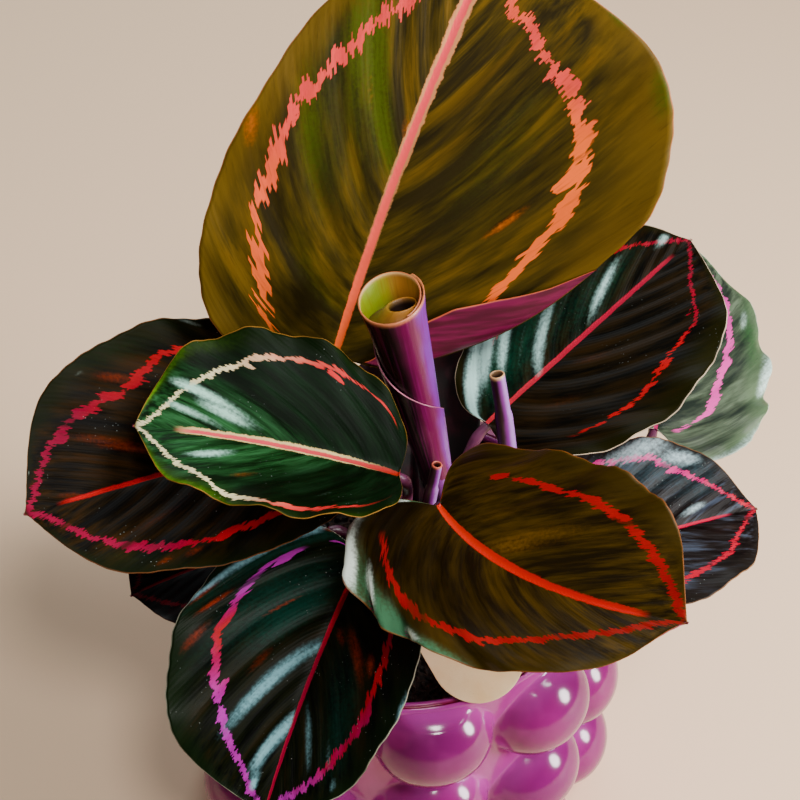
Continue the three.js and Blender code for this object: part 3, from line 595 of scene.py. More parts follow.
def smoothstep(low, high, value):
    """0 below low, 1 above high, and a soft step in between."""
    x = np.clip((value - low) / (high - low), 0, 1)
    return x * x * (3 - 2 * x)


def round_angles(sides):
    """Angles of the points round a ring."""
    return np.arange(sides) * 2 * math.pi / sides


def circle(centre, radius, across, other, sides):
    """Points round a circle, in the plane of two axes."""
    angles = round_angles(sides)
    return centre + radius * (np.cos(angles)[:, None] * across + np.sin(angles)[:, None] * other)


def lathe_points(profile, sides):
    """Rings of points, ring by ring, from a profile of radius and height."""
    angles = round_angles(sides)
    rings = []
    for radius, height in profile:
        ring = np.stack([radius * np.cos(angles), radius * np.sin(angles), np.full(sides, height)], 1)
        rings.append(ring)
    return np.concatenate(rings)


def lathe_faces(rings, sides):
    """Quads between the rings, with a fan on a centre point at each end."""
    faces = []
    for ring in range(rings - 1):
        for k in range(sides):
            a = ring * sides + k
            b = ring * sides + (k + 1) % sides
            faces.append((a, b, b + sides, a + sides))
    first = rings * sides
    last = (rings - 1) * sides
    for k in range(sides):
        faces.append((first, (k + 1) % sides, k))
        faces.append((first + 1, last + k, last + (k + 1) % sides))
    return faces


def turned(name, profile, sides, materials):
    """A solid of revolution, closed on the axis at both ends."""
    points = lathe_points(profile, sides)
    centres = np.array([[0, 0, profile[0][1]], [0, 0, profile[-1][1]]])
    points = np.concatenate([points, centres])
    return new_piece(name, points, lathe_faces(len(profile), sides), materials)


def shell_faces(rows, columns):
    """Two skins of a thin sheet, laid out row by row, and the walls that close them."""
    offset = (rows + 1) * (columns + 1)
    width = columns + 1
    faces = []
    slots = []
    for row in range(rows):
        for k in range(columns):
            a = row * width + k
            quad = (a, a + width, a + width + 1, a + 1)
            faces.append(quad)
            faces.append(tuple(offset + corner for corner in reversed(quad)))
            slots += [0, 1]
        a = row * width
        b = a + columns
        faces.append((a, offset + a, offset + a + width, a + width))
        faces.append((b + width, offset + b + width, offset + b, b))
        slots += [0, 0]
    for k in range(columns):
        top = rows * width + k
        faces.append((k + 1, offset + k + 1, offset + k, k))
        faces.append((top, offset + top, offset + top + 1, top + 1))
        slots += [0, 0]
    return faces, slots


def sheet_piece(name, skins, materials):
    """A thin closed sheet between two grids of points. The second skin wears the last material."""
    rows, columns = (count - 1 for count in skins[0].shape[:2])
    faces, slots = shell_faces(rows, columns)
    points = np.concatenate([skin.reshape(-1, 3) for skin in skins])
    return new_piece(name, points, faces, materials, np.minimum(slots, len(materials) - 1))


# ---- Geometry Nodes ----

class Recipe(Tree):
    """A Geometry Nodes tree with named inputs."""

    def __init__(self, name, inputs):
        self.tree = bpy.data.node_groups.new(name, "GeometryNodeTree")
        face = self.tree.interface
        face.new_socket("Geometry", in_out="INPUT", socket_type="NodeSocketGeometry")
        for label, kind in inputs:
            face.new_socket(label, in_out="INPUT", socket_type=kind)
        face.new_socket("Geometry", in_out="OUTPUT", socket_type="NodeSocketGeometry")
        self.start = self.tree.nodes.new("NodeGroupInput")
        self.end = self.tree.nodes.new("NodeGroupOutput")

    def given(self, label):
        return Socket(self, self.start.outputs[label])

    def vector_math(self, operation, values):
        return self.node("ShaderNodeVectorMath", {"operation": operation}, values, "Vector")

    def finish(self, geometry, material):
        """Realizes what the tree has made, dresses it in one material and sends it out."""
        self.material = material
        whole = self.node("GeometryNodeRealizeInstances", {}, {"Geometry": geometry})
        dressed = self.node("GeometryNodeSetMaterial", {}, {"Geometry": whole, "Material": material})
        self.tree.links.new(dressed.output, self.end.inputs["Geometry"])

    def apply(self, piece, values):
        modifier = piece.modifiers.new(self.tree.name, "NODES")
        modifier.node_group = self.tree
        for item in self.tree.interface.items_tree:
            if item.item_type == "SOCKET" and item.in_out == "INPUT" and item.name in values:
                modifier[item.identifier] = values[item.name]
        dress_in_one(as_plain_mesh(piece), self.material)


# ---- Cover pot ----

def glaze_finish():
    """A glossy glaze, paler on the wall than on the bubbles, with a dark groove in the lip and painted shade
    darkening the inside.
    """
    finish = Finish("pink-purple glaze")
    place = finish.place()
    relief = finish.attribute("relief")
    drift = finish.noise(place, 22.0, 3.0)
    brushed = finish.noise(place, 70.0, 2.0)
    colour = finish.mix(relief.step(0.0, 9.0), tone(152, 54, 136), tone(108, 20, 90))
    colour = finish.mix(drift.step(0.35, 0.7) * 0.5, colour, tone(146, 30, 112))
    colour = finish.mix(brushed.step(0.55, 0.8) * 0.15, colour, tone(206, 90, 176))
    colour = finish.mix(finish.attribute("groove"), colour, tone(96, 2, 26))
    # Painted shade: the inside of the pot is darkened.
    colour = finish.mix(finish.attribute("inside"), colour, tone(70, 6, 56))
    return finish.surface(
        base_color=colour, roughness=0.16, ior=1.4, coat_weight=0.2, coat_roughness=0.04,
        normal=finish.bump(finish.noise(place, 140.0, 2.0), 0.00012, 0.35),
    )


def bubble_recipe(material):
    """Raises the wall in staggered columns of round bubbles."""
    sizes = ["Wall radius", "Columns", "First angle", "First height", "Pitch", "Stagger",
             "Half width", "Half height", "Bulge", "Fillet"]
    recipe = Recipe("bubble relief", [(label, "NodeSocketFloat") for label in sizes])
    given = {label: recipe.given(label) for label in sizes}
    position = recipe.node("GeometryNodeInputPosition", {}, {})
    x, y, z = (recipe.node("ShaderNodeSeparateXYZ", {}, {"Vector": position}, axis) for axis in "XYZ")
    angle = x.math("ARCTAN2", x, 0.0 - y)
    column = (angle - given["First angle"]) * given["Columns"] / (2 * math.pi)
    nearest = column.math("ROUND", column)
    odd = nearest.math("FLOORED_MODULO", nearest, 2.0)
    arc = 2 * math.pi * given["Wall radius"] / given["Columns"]
    across = (column - nearest) * arc / given["Half width"]
    first = given["First height"] - odd * given["Stagger"]
    row = (first - z) / given["Pitch"]
    level = row.math("ROUND", row).most(0.0).least(BUBBLE_ROWS - 1.0)
    up = (z - first + level * given["Pitch"]) / given["Half height"]
    reach = (across * across + up * up) * given["Half width"] * given["Half width"]
    cap = (given["Half width"] ** 2.0 + given["Bulge"] ** 2.0) / (given["Bulge"] * 2.0)
    room = (cap * cap - reach).most(0.0)
    dome = room.math("SQRT", room) - (cap - given["Bulge"])
    height = dome.math("SMOOTH_MAX", dome, 0.0, given["Fillet"])
    height = height * z.step(0.5 * MM, 7 * MM)
    wall = recipe.node("GeometryNodeInputNamedAttribute", {"data_type": "FLOAT"}, {"Name": "wall"})
    height = height * wall
    level_way = recipe.vector_math("MULTIPLY", {0: position, 1: (1.0, 1.0, 0.0)})
    outward = recipe.vector_math("NORMALIZE", {0: level_way})
    push = recipe.vector_math("SCALE", {"Vector": outward, "Scale": height})
    raised = recipe.node("GeometryNodeSetPosition", {},
                         {"Geometry": recipe.given("Geometry"), "Offset": push})
    marked = recipe.node("GeometryNodeStoreNamedAttribute", {"data_type": "FLOAT", "domain": "POINT"},
                         {"Geometry": raised, "Name": "relief", "Value": height * 1000.0})
    recipe.finish(marked, material)
    return recipe


def pot_profile():
    """Rings from the base up and in: radius, height, then shares of bubbled wall, groove and inside."""
    rings = [
        (POT_CENTRE_RADIUS, POT_BASE_RECESS, 0, 0, 0), (POT_BASE_RADIUS - 5.5, POT_BASE_RECESS, 0, 0, 0),
        (POT_BASE_RADIUS - 3.5, 0, 0, 0, 0),
    ]
    for row in range(POT_WALL_ROWS + 1):
        z = WALL_BOTTOM + (WALL_TOP - WALL_BOTTOM) * row / POT_WALL_ROWS
        flare = POT_RADIUS_BOTTOM + (POT_RADIUS_TOP - POT_RADIUS_BOTTOM) * z / POT_HEIGHT
        inset = POT_FOOT_INSET * (1 - float(smoothstep(0, POT_FOOT_HEIGHT, z)))
        rings.append((flare - inset, z, 1, 0, 0))
    middle = (POT_RADIUS_TOP + POT_MOUTH_RADIUS) / 2
    half = (POT_RADIUS_TOP - POT_MOUTH_RADIUS) / 2 + 0.15
    for step in range(LIP_STEPS + 1):
        angle = math.pi * step / LIP_STEPS
        dip = LIP_GROOVE * math.exp(-((angle - math.pi * 0.42) / 0.2) ** 2)
        z = POT_HEIGHT - LIP_ROUND + LIP_ROUND * math.sin(angle) - dip
        groove = math.exp(-((step - LIP_GROOVE_STEP) / 2.6) ** 2)
        rings.append((middle + half * math.cos(angle), z, 0, groove, step > LIP_STEPS - 2))
    inner = [
        (POT_MOUTH_RADIUS - 0.4, POT_HEIGHT - 16), (POT_MOUTH_RADIUS - 1.2, POT_HEIGHT - 50),
        (POT_INNER_BOTTOM_RADIUS + 1, POT_FLOOR + 6), (POT_INNER_BOTTOM_RADIUS - 2, POT_FLOOR),
        (POT_CENTRE_RADIUS, POT_FLOOR),
    ]
    return rings + [(radius, z, 0, 0, 1) for radius, z in inner]


def cover_pot():
    """The turned pot, its bubbles raised by the recipe."""
    radii, heights, *shares = zip(*pot_profile())
    glaze = glaze_finish()
    pot = turned("cover_pot", list(zip(radii, heights)), POT_SIDES, [glaze])
    for name, levels in zip(("wall", "groove", "inside"), shares):
        add_ring_attribute(pot, name, np.repeat(np.array(levels, float), POT_SIDES))
    bubble_recipe(glaze).apply(pot, {
        "Wall radius": POT_RADIUS_TOP * MM, "Columns": float(BUBBLE_COLUMNS),
        "First angle": BUBBLE_FIRST_ANGLE * DEGREES, "First height": BUBBLE_FIRST_HEIGHT * MM,
        "Pitch": BUBBLE_PITCH * MM, "Stagger": BUBBLE_STAGGER * MM,
        "Half width": BUBBLE_HALF_WIDTH * MM, "Half height": BUBBLE_HALF_HEIGHT * MM,
        "Bulge": BUBBLE_BULGE * MM, "Fillet": BUBBLE_FILLET * MM,
    })
    settle(pot, "glaze", "pot")


# ---- Grower's pot and potting mix ----

def nursery_finish():
    """Black plastic with a little dust on it."""
    finish = Finish("grower's pot plastic")
    place = finish.place()
    grain = finish.noise(place, 900.0, 3.0)
    dust = finish.noise(place, 60.0, 3.0)
    colour = finish.mix(dust.step(0.5, 0.8) * 0.3, tone(20, 17, 18), tone(52, 42, 38))
    return finish.surface(
        base_color=colour, roughness=dust.step(0.3, 0.7) * 0.2 + 0.45,
        normal=finish.bump(grain, 0.0001, 0.4),
    )


def soil_finish():
    """Nearly black, with brown flecks and clods."""
    finish = Finish("dark potting mix")
    place = finish.place()
    fleck = finish.noise(place, 420.0, 4.0, 0.7)
    clod = finish.noise(place, 120.0, 3.0)
    colour = finish.mix(fleck.step(0.4, 0.65), tone(18, 12, 10), tone(58, 38, 26))
    colour = finish.mix(clod.step(0.6, 0.75) * 0.6, colour, tone(86, 62, 42))
    return finish.surface(base_color=colour, roughness=0.95, normal=finish.bump(fleck, 0.0008, 0.8))


def crumb_recipe(material):
    """Scatters rough crumbs over a surface."""
    recipe = Recipe("scattered crumbs", [
        ("Density", "NodeSocketFloat"), ("Size", "NodeSocketFloat"), ("Seed", "NodeSocketInt"),
    ])
    ground = recipe.given("Geometry")
    spots = recipe.node("GeometryNodeDistributePointsOnFaces", {},
                        {"Mesh": ground, "Density": recipe.given("Density"), "Seed": recipe.given("Seed")})
    crumb = recipe.node("GeometryNodeMeshIcoSphere", {}, {"Radius": 1.0, "Subdivisions": 1}, "Mesh")
    kind = {"data_type": "FLOAT_VECTOR"}
    turn, share = (recipe.node("FunctionNodeRandomValue", kind, {0: low, 1: high, "Seed": seed})
                   for low, high, seed in (CRUMB_TURNS, CRUMB_SHARES))
    size = recipe.vector_math("SCALE", {"Vector": share, "Scale": recipe.given("Size")})
    crumbs = recipe.node("GeometryNodeInstanceOnPoints", {}, {
        "Points": spots, "Instance": crumb, "Rotation": turn, "Scale": size,
    })
    both = recipe.node("GeometryNodeJoinGeometry", {}, {"Geometry": crumbs})
    recipe.tree.links.new(ground.output, both.output.node.inputs["Geometry"])
    recipe.finish(both, material)
    return recipe


def potting_mix():
    """A slightly crowned and lumpy disc, strewn with crumbs."""
    material = soil_finish()
    profile = [(0.5, SOIL_TOP - SOIL_DEPTH), (SOIL_RADIUS - 1.5, SOIL_TOP - SOIL_DEPTH)]
    for step in range(SOIL_RINGS + 1):
        share = 1 - step / SOIL_RINGS
        crown = SOIL_CROWN * (1 - share * share)
        profile.append((max(0.5, (SOIL_RADIUS - 1) * share), SOIL_TOP - 1.2 + crown * 0.8))
    soil = turned("potting_mix", profile, SOIL_SIDES, [material])
    points = np.array([vertex.co for vertex in soil.data.vertices])
    x, y, z = points.T
    coarse = 0.0007 * np.sin(x * 310) * np.sin(y * 270 + 1)
    fine = 0.0005 * np.sin(x * 730 + 2) * np.sin(y * 690)
    points[:, 2] += (coarse + fine) * (z > (SOIL_TOP - 5) * MM) - 0.0006
    soil.data.vertices.foreach_set("co", points.ravel())
    area = math.pi * (SOIL_RADIUS * MM) ** 2
    crumb_recipe(material).apply(soil, {"Density": CRUMB_COUNT / area, "Size": CRUMB_SIZE * MM, "Seed": 4})
    settle(soil, "potting_mix", "soil")


# ---- Leaf blade ----

def leaf_axes(leaf):
    """The blade's own axes at its base: along the midrib, to its left, and out of its upper face."""
    heading = leaf["heading"] * DEGREES
    rise = leaf["rise"] * DEGREES
    roll = leaf["roll"] * DEGREES
    along = np.array([
        math.cos(heading) * math.cos(rise), math.sin(heading) * math.cos(rise), math.sin(rise)])
    level = np.array([-math.sin(heading), math.cos(heading), 0])
    up = np.cross(along, level)
    left = level * math.cos(roll) + up * math.sin(roll)
    face = up * math.cos(roll) - level * math.sin(roll)
    return along, left, face


def vein_point(leaf, t, u, side):
    """Sideways and forward place of a point u along side vein t, and that vein's reach."""
    phase = math.pi * t
    half_width = leaf["width"] / 2 * (1 + side * leaf["wider"])
    fullness = 0.85 + 1.15 * smoothstep(0.72, 1, t)
    edge = half_width * np.abs(np.sin(phase)) ** fullness * (1 + 0.08 * np.cos(phase))
    lobe_drop = 5.8 * leaf["lobe"] * np.sin(phase) * (1 - t) ** 6
    edge_y = leaf["length"] * ((1 - np.cos(phase)) / 2 - lobe_drop)
    root_y = leaf["length"] * ((1 - np.cos(phase)) / 2) ** 1.5
    middle_y = root_y + 0.25 * (edge_y - root_y)
    forward = (1 - u) ** 2 * root_y + 2 * u * (1 - u) * middle_y + u * u * edge_y
    shear = 1.3 * side * leaf["skew"] * leaf["length"] * np.sin(phase) ** 2 * u * u
    return u * edge, forward - shear, edge


def vein_root(leaf, x, y):
    """Share of the midrib at which the side vein through a point leaves it. Veins steepen to the tip."""
    low = np.full_like(x, -0.8)
    high = np.full_like(x, 1.2)
    width = leaf["width"] / 2
    for _ in range(26):
        root = (low + high) / 2
        share = np.clip(root, 0, 1)
        slope = 0.75 + 2 * share + 4 * share ** 2
        reached = root * leaf["length"] + slope * x * (0.45 + 0.85 * x / width)
        low = np.where(reached < y, root, low)
        high = np.where(reached < y, high, root)
    return root


def cross_section(leaf, x, side):
    """Sideways and upward place of a point on one flank, which is folded up at the midrib and cupped."""
    fold = leaf["fold"] * DEGREES
    cup = np.where(side > 0, leaf["cup_left"], leaf["cup_right"]) * DEGREES / (leaf["width"] / 2) + 1e-7
    angle = fold + cup * x
    return (np.sin(angle) - math.sin(fold)) / cup, (math.cos(fold) - np.cos(angle)) / cup


def blade_relief(leaf, t, u, x, vein):
    """Quilting between the side veins and the channel over the midrib."""
    puff = np.abs(np.sin(math.pi * PLEATS * vein)) ** 0.8 - 0.5
    swell = np.sin(math.pi * np.clip(u, 0, 1) ** 0.8) ** 0.7 * np.sin(math.pi * t) ** 0.5
    channel = RIB_GROOVE * np.exp(-(x / 1.6) ** 2) * smoothstep(0, 0.1, t)
    return leaf["paint"]["pleat"] * puff * swell - channel


def nibbled(t, u, side):
    """Small unevenness of the outline."""
    slow = 0.2 * np.sin(2 * math.pi * 7.3 * t + side)
    quick = 0.15 * np.sin(2 * math.pi * 18.7 * t * (1 + 0.2 * t))
    return (slow + quick - 0.2) * smoothstep(0.9, 1, u) * np.sin(math.pi * t)


def blade_surface(leaf, t, u, side):
    """Points on the upper face, with their distance from the midrib, outline reach and side vein."""
    along, left, face = leaf_axes(leaf)
    x, y, edge = vein_point(leaf, t, u, side)
    vein = vein_root(leaf, x, y)
    scallop = leaf.get("ruffle", 0) * smoothstep(0.7, 1, u) * np.sin(2 * math.pi * vein / SCALLOP_PITCH)
    scallop = scallop * (side < 0) * smoothstep(0.04, 0.2, t) * (1 - smoothstep(0.6, 0.8, t))
    sideways, above = cross_section(leaf, x + 0.5 * scallop + nibbled(t, u, side), side)
    forward = np.maximum(y, 0)
    bend = leaf["arch"] * DEGREES / leaf["length"] + 1e-7
    sweep = leaf["sweep"] * DEGREES / leaf["length"]
    lift = np.where(side > 0, leaf["lift_left"], leaf["lift_right"])
    raised = lift * leaf["length"] * (2 * x / leaf["width"]) ** 2 * (1 - smoothstep(0.05, 0.5, t))
    ripple = leaf["wave"] * u ** 4 * np.sin(2 * math.pi * leaf["waves"] * t + side) * np.sin(math.pi * t)
    above = above + raised + ripple + scallop + blade_relief(leaf, t, u, x, vein)
    sideways = side * sideways
    twist = leaf["twist"] * DEGREES * forward / leaf["length"]
    across = sideways * np.cos(twist) - above * np.sin(twist)
    height = sideways * np.sin(twist) + above * np.cos(twist)
    bend_angle = bend * forward
    sweep_angle = sweep * forward
    travel = np.sin(bend_angle) / bend + np.minimum(y, 0)
    drop = -(1 - np.cos(bend_angle)) / bend
    forward_axis = along * np.cos(bend_angle)[..., None] - face * np.sin(bend_angle)[..., None]
    face_axis = along * np.sin(bend_angle)[..., None] + face * np.cos(bend_angle)[..., None]
    point = np.array(leaf["base"]) + along * travel[..., None] + face * drop[..., None]
    point = point + left * (0.5 * sweep * forward ** 2 + across * np.cos(sweep_angle))[..., None]
    point = point - forward_axis * (across * np.sin(sweep_angle))[..., None]
    return point + face_axis * height[..., None], x, edge, vein


def by_station(leaf, name, t, side):
    """A value given along the blade for each flank, at RING_STATIONS."""
    left = np.interp(t, RING_STATIONS, leaf["paint"][name + "_left"])
    right = np.interp(t, RING_STATIONS, leaf["paint"][name + "_right"])
    return np.where(side > 0, left, right)


def marks(leaf, kind, vein, u, side):
    """Soft patches on the blade: flank, side vein, reach, spread across and along the veins, strength."""
    total = np.zeros_like(vein)
    for flank, middle, reach, wide, long, strength in leaf["paint"].get(kind, ()):
        spot = np.exp(-((vein - middle) / wide) ** 2 - ((u - reach) / long) ** 2)
        total += strength * spot * (side == flank)
    return total


def blade_grid(leaf):
    """Station along the midrib, reach along the side vein and flank, for each place of the blade."""
    rows = np.linspace(0.004, 0.996, BLADE_ROWS)
    share = np.linspace(0, 1, BLADE_COLUMNS + 1)
    reach = share - 0.16 * np.sin(2 * math.pi * share) / (2 * math.pi)
    columns = np.concatenate([reach[::-1], reach[1:]])
    flanks = np.concatenate([np.ones(len(reach)), -np.ones(len(reach) - 1)])
    t, u = np.meshgrid(rows, columns, indexing="ij")
    side = np.broadcast_to(flanks, t.shape)
    if leaf["name"] == FOLDED_LEAF:
        u = u * np.where(side < 0, np.interp(t, *CREASE), 1)
    return t, u, side


def blade_values(leaf, t, u, side, x, edge, vein):
    """What the paint has to know at each place of the blade."""
    rib_width = np.interp(t, (0, 0.5, 0.9), leaf["paint"]["ribs"])
    values = {
        "vein": vein, "reach": u * side, "along": t, "rib": x / rib_width, "rim": (1 - u) * edge,
        "ring": (u - by_station(leaf, "ring", t, side)) * edge, "tint": by_station(leaf, "tint", t, side),
    }
    for kind in MARK_KINDS:
        values[kind + "_marks"] = marks(leaf, kind + "_marks", vein, u, side)
    return values


def blade_mesh(leaf, materials):
    """A thin closed blade with the measures that its paint follows."""
    t, u, side = blade_grid(leaf)
    upper, x, edge, vein = blade_surface(leaf, t, u, side)
    normal = np.cross(np.gradient(upper, axis=1), np.gradient(upper, axis=0))
    normal /= np.linalg.norm(normal, axis=2)[..., None] + 1e-12
    thickness = BLADE_THICKNESS * (1 - 0.6 * smoothstep(0.86, 1, u))
    lower = upper - normal * thickness[..., None]
    beside = BLADE_COLUMNS + 1
    ends = blade_surface(leaf, np.array([0.0, 1.0]), np.zeros(2), np.ones(2))[0]
    lower_ends = ends - normal[[0, -1], beside] * BLADE_THICKNESS * 0.6
    points = np.concatenate([upper.reshape(-1, 3), ends, lower.reshape(-1, 3), lower_ends])
    faces, slots = blade_faces(t.shape[1])
    blade = new_piece(leaf["name"] + "_blade", points, faces, materials, slots)
    layers = {}
    for name, value in blade_values(leaf, t, u, side, x, edge, vein).items():
        flat = value.ravel()
        layers[name] = np.concatenate([flat, flat[[beside, -beside]]])
    add_skin_attributes(blade, **layers)
    return blade


def blade_faces(width):
    """Upper and lower skins, and the wall round the margin that joins them."""
    faces = []
    slots = []
    rows = BLADE_ROWS
    base = rows * width
    tip = base + 1
    offset = base + 2

    def at(row, column):
        return row * width + column

    def pair(*corners):
        faces.append(corners)
        slots.append(0)
        faces.append(tuple(offset + corner for corner in reversed(corners)))
        slots.append(1)

    def wall(first, second):
        faces.append((first, second, offset + second, offset + first))
        slots.append(0)

    for column in range(width - 1):
        pair(base, at(0, column + 1), at(0, column))
        pair(at(rows - 1, column), at(rows - 1, column + 1), tip)
        for row in range(rows - 1):
            pair(at(row, column), at(row, column + 1), at(row + 1, column + 1), at(row + 1, column))
    for row in range(rows - 1):
        wall(at(row, 0), at(row + 1, 0))
        wall(at(row + 1, width - 1), at(row, width - 1))
    wall(base, at(0, 0))
    wall(at(0, width - 1), base)
    wall(at(rows - 1, 0), tip)
    wall(tip, at(rows - 1, width - 1))
    return faces, slots


def painted_blade(leaf, number):
    """The upper face: streaks along the side veins, a painted ring, the midrib, soft patches, painted shade
    and a painted sheen of reflected window light.
    """
    paint = leaf["paint"]
    finish = Finish(leaf["name"] + " painted blade")
    vein = finish.attribute("vein")
    reach = finish.attribute("reach")
    seed = float(number)
    spread = abs(reach)
    broad = finish.strokes(vein * 15.0, reach * 2.2, seed)
    fine = finish.strokes(vein * 46.0, reach * 4.5, seed, 3.0, 0.6)
    thread = finish.strokes(vein * 150.0, reach * 12.0, seed)
    cloud = finish.strokes(vein * 6.0, reach * 3.0, seed + 3.0)
    streak = broad * 0.55 + fine * 0.3 + thread * 0.15
    colour = finish.mix(streak.step(0.4, 0.55), tone(*paint["dark"]), tone(*paint["mid"]))
    colour = finish.mix(streak.step(0.5, 0.64) * paint["streaks"], colour, tone(*paint["light"]))
    outer = (spread + (cloud - 0.5) * 0.3).step(0.72, 1.0) * (0.4 + fine * 0.9)
    colour = finish.mix(outer.least(1.0), colour, tone(*paint["margin"]))
    # The green patches are partly the leaf's own green and partly a painted highlight; the rust patches are
    # the leaf's own colour.
    for kind, shade in (("green_and_highlight", "green"), ("rust", "rust")):
        colour = finish.mix(soft_patch(finish, kind, fine, thread), colour, tone(*paint[shade]))
    # Painted shade: soft patches darken the blade towards near black.
    painted_shade = finish.attribute("painted_shade_marks").least(0.9)
    painted_shade_colour = (*(channel * 0.3 for channel in tone(*paint["dark"])[:3]), 1.0)
    colour = finish.mix(painted_shade, colour, painted_shade_colour)
    colour = finish.mix(thread.step(0.56, 0.74) * 0.3, colour, tone(*paint["dark"]))
    tint = (finish.attribute("tint") + (cloud - 0.5) * 0.8).step(0.1, 0.9)
    ring_colour = finish.mix(tint, tone(*paint["ring_near"]), tone(*paint["ring_far"]))
    ring_colour = finish.mix(thread.step(0.5, 0.8) * 0.35, ring_colour, tone(*paint["mid"]))
    colour = finish.mix(painted_ring(finish, paint, vein, reach, seed), colour, ring_colour)
    colour = painted_rib(finish, paint, colour, reach)
    # Painted sheen: pale patches stand in for window light reflected off the glossy blade.
    colour = finish.mix(soft_patch(finish, "painted_sheen", fine, thread), colour, tone(*paint["painted_sheen"]))
    colour = finish.mix(dust(finish) * paint["specks"], colour, tone(150, 160, 156))
    rim = (1.0 - finish.attribute("rim").step(0.12, 0.4)) * (0.3 + cloud.step(0.3, 0.6) * 0.7)
    colour = finish.mix(rim, colour, tone(*paint["edge"]))
    ridges = (vein * (2 * math.pi * 58)).sine() * 0.2 + fine + thread * 0.4
    return finish.surface(
        base_color=colour, roughness=fine * 0.2 + (paint["roughness"] - 0.1),
        normal=finish.bump(ridges, 0.00014, 0.35), specular_ior_level=paint["gloss"],
    )


def soft_patch(finish, kind, fine, thread):
    """A patch's mask, broken into strokes along the side veins and mottled. The pale sheen patches it makes
    are painted reflection of window light.
    """
    grain = finish.noise(finish.place(), 900.0, 2.0)
    broken = fine * 0.85 + thread * 0.3 + grain.step(0.3, 0.7) * 0.3 + 0.15
    return (finish.attribute(kind + "_marks") * broken).step(0.15, 1.15) * 0.95


def dust(finish):
    """Small round specks, gathered in loose groups."""
    place = finish.place()
    spots = finish.node("ShaderNodeTexVoronoi", {}, {"Vector": place, "Scale": 620.0}, "Distance")
    groups = finish.noise(place, 60.0, 2.0).step(0.53, 0.64)
    return (1.0 - spots.step(0.05, 0.14)) * groups


def painted_ring(finish, paint, vein, reach, seed):
    """A band made of short strokes along the side veins, each with its own two ends."""
    ring = finish.attribute("ring")
    along = finish.attribute("along")
    flank = reach.step(-0.001, 0.001)
    ends = []
    for extra in (0.0, 51.0):
        coarse = finish.chance((vein * 64.0 + extra).whole(), flank + seed) - 0.5
        finer = finish.chance((vein * 150.0 + extra).whole(), flank + seed) - 0.5
        ends.append((coarse * 0.55 + finer * 0.75) * paint["jag"])
    drift = finish.strokes(vein * 10.0, flank * 7.0, seed) - 0.5
    swell = finish.strokes(vein * 17.0, flank * 5.0, seed + 4.0) - 0.5
    middle = ring + drift * (paint["jag"] * 2.0)
    wide = swell * (paint["ring_width"] * 2.4) + paint["ring_width"]
    wide = wide * (along.step(0.2, 0.5) * 0.5 + 0.5)
    low = middle + wide + ends[0]
    high = wide - middle + ends[1]
    worn = finish.strokes(vein * 9.0, flank * 5.0, seed + 8.0).step(0.34, 0.42)
    band = low.step(0.0, 0.45) * high.step(0.0, 0.45) * (worn * 0.8 + 0.2)
    band = band * along.step(paint["ring_start"], paint["ring_start"] + 0.06)
    band = band * (1.0 - along.step(0.92, 0.97))
    blots = (finish.attribute("ring_marks") + (ends[0] + ends[1]) * (0.3 / paint["jag"])).step(0.45, 0.55)
    return band.most(blots)


def painted_rib(finish, paint, colour, reach):
    """The midrib stripe, with a paler ragged border towards the tip."""
    rib = finish.attribute("rib")
    along = finish.attribute("along")
    flank = reach.step(-0.001, 0.001)
    ragged = finish.strokes(along * 70.0, flank * 7.0, rib * 0.6, 4.0, 0.75) - 0.5
    paler = along.step(*paint["pale"])
    end = 1.0 - along.step(paint["rib_end"] - 0.06, paint["rib_end"])
    border = (1.0 - (rib + ragged * 1.1).step(0.8, 1.05)) * end
    middle = (1.0 - (rib + ragged * 0.5 + paler * 0.42).step(0.75, 1.0)) * end
    colour = finish.mix(border * (paler * 0.9 + 0.1), colour, tone(*paint["rib_edge"]))
    rib_colour = finish.mix(along.step(0.1, 0.7), tone(*paint["rib_near"]), tone(*paint["rib_far"]))
    return finish.mix(middle, colour, rib_colour)


def underside_finish():
    """Wine red, with paler ribs along the side veins."""
    finish = Finish("purple underside")
    vein = finish.attribute("vein")
    reach = finish.attribute("reach")
    fine = finish.strokes(vein * 70.0, reach * 2.0, 5.0, 3.0)
    ribs = (vein * (2 * math.pi * PLEATS * 2)).sine().step(0.2, 1.0)
    colour = finish.mix(fine.step(0.3, 0.7), tone(104, 8, 56), tone(140, 20, 88))
    colour = finish.mix(ribs * 0.3, colour, tone(160, 50, 110))
    return finish.surface(
        base_color=colour, roughness=0.42, normal=finish.bump(fine, 0.0002, 0.5), ior=1.45)


# ---- The folded margin of one leaf ----

def folded_finish():
    """The wine underside on the folded margin, with a pale orange rim."""
    finish = Finish("folded wine margin")
    streak = finish.strokes(finish.attribute("vein") * 60.0, finish.attribute("reach") * 4.0, 5.0, 3.0)
    colour = finish.mix(streak.step(0.35, 0.7), tone(74, 0, 34), tone(112, 2, 62))
    colour = finish.mix(finish.attribute("inward").step(0.975, 0.995), colour, tone(190, 84, 50))
    return finish.surface(base_color=colour, roughness=0.5, normal=finish.bump(streak, 0.0002, 0.4))


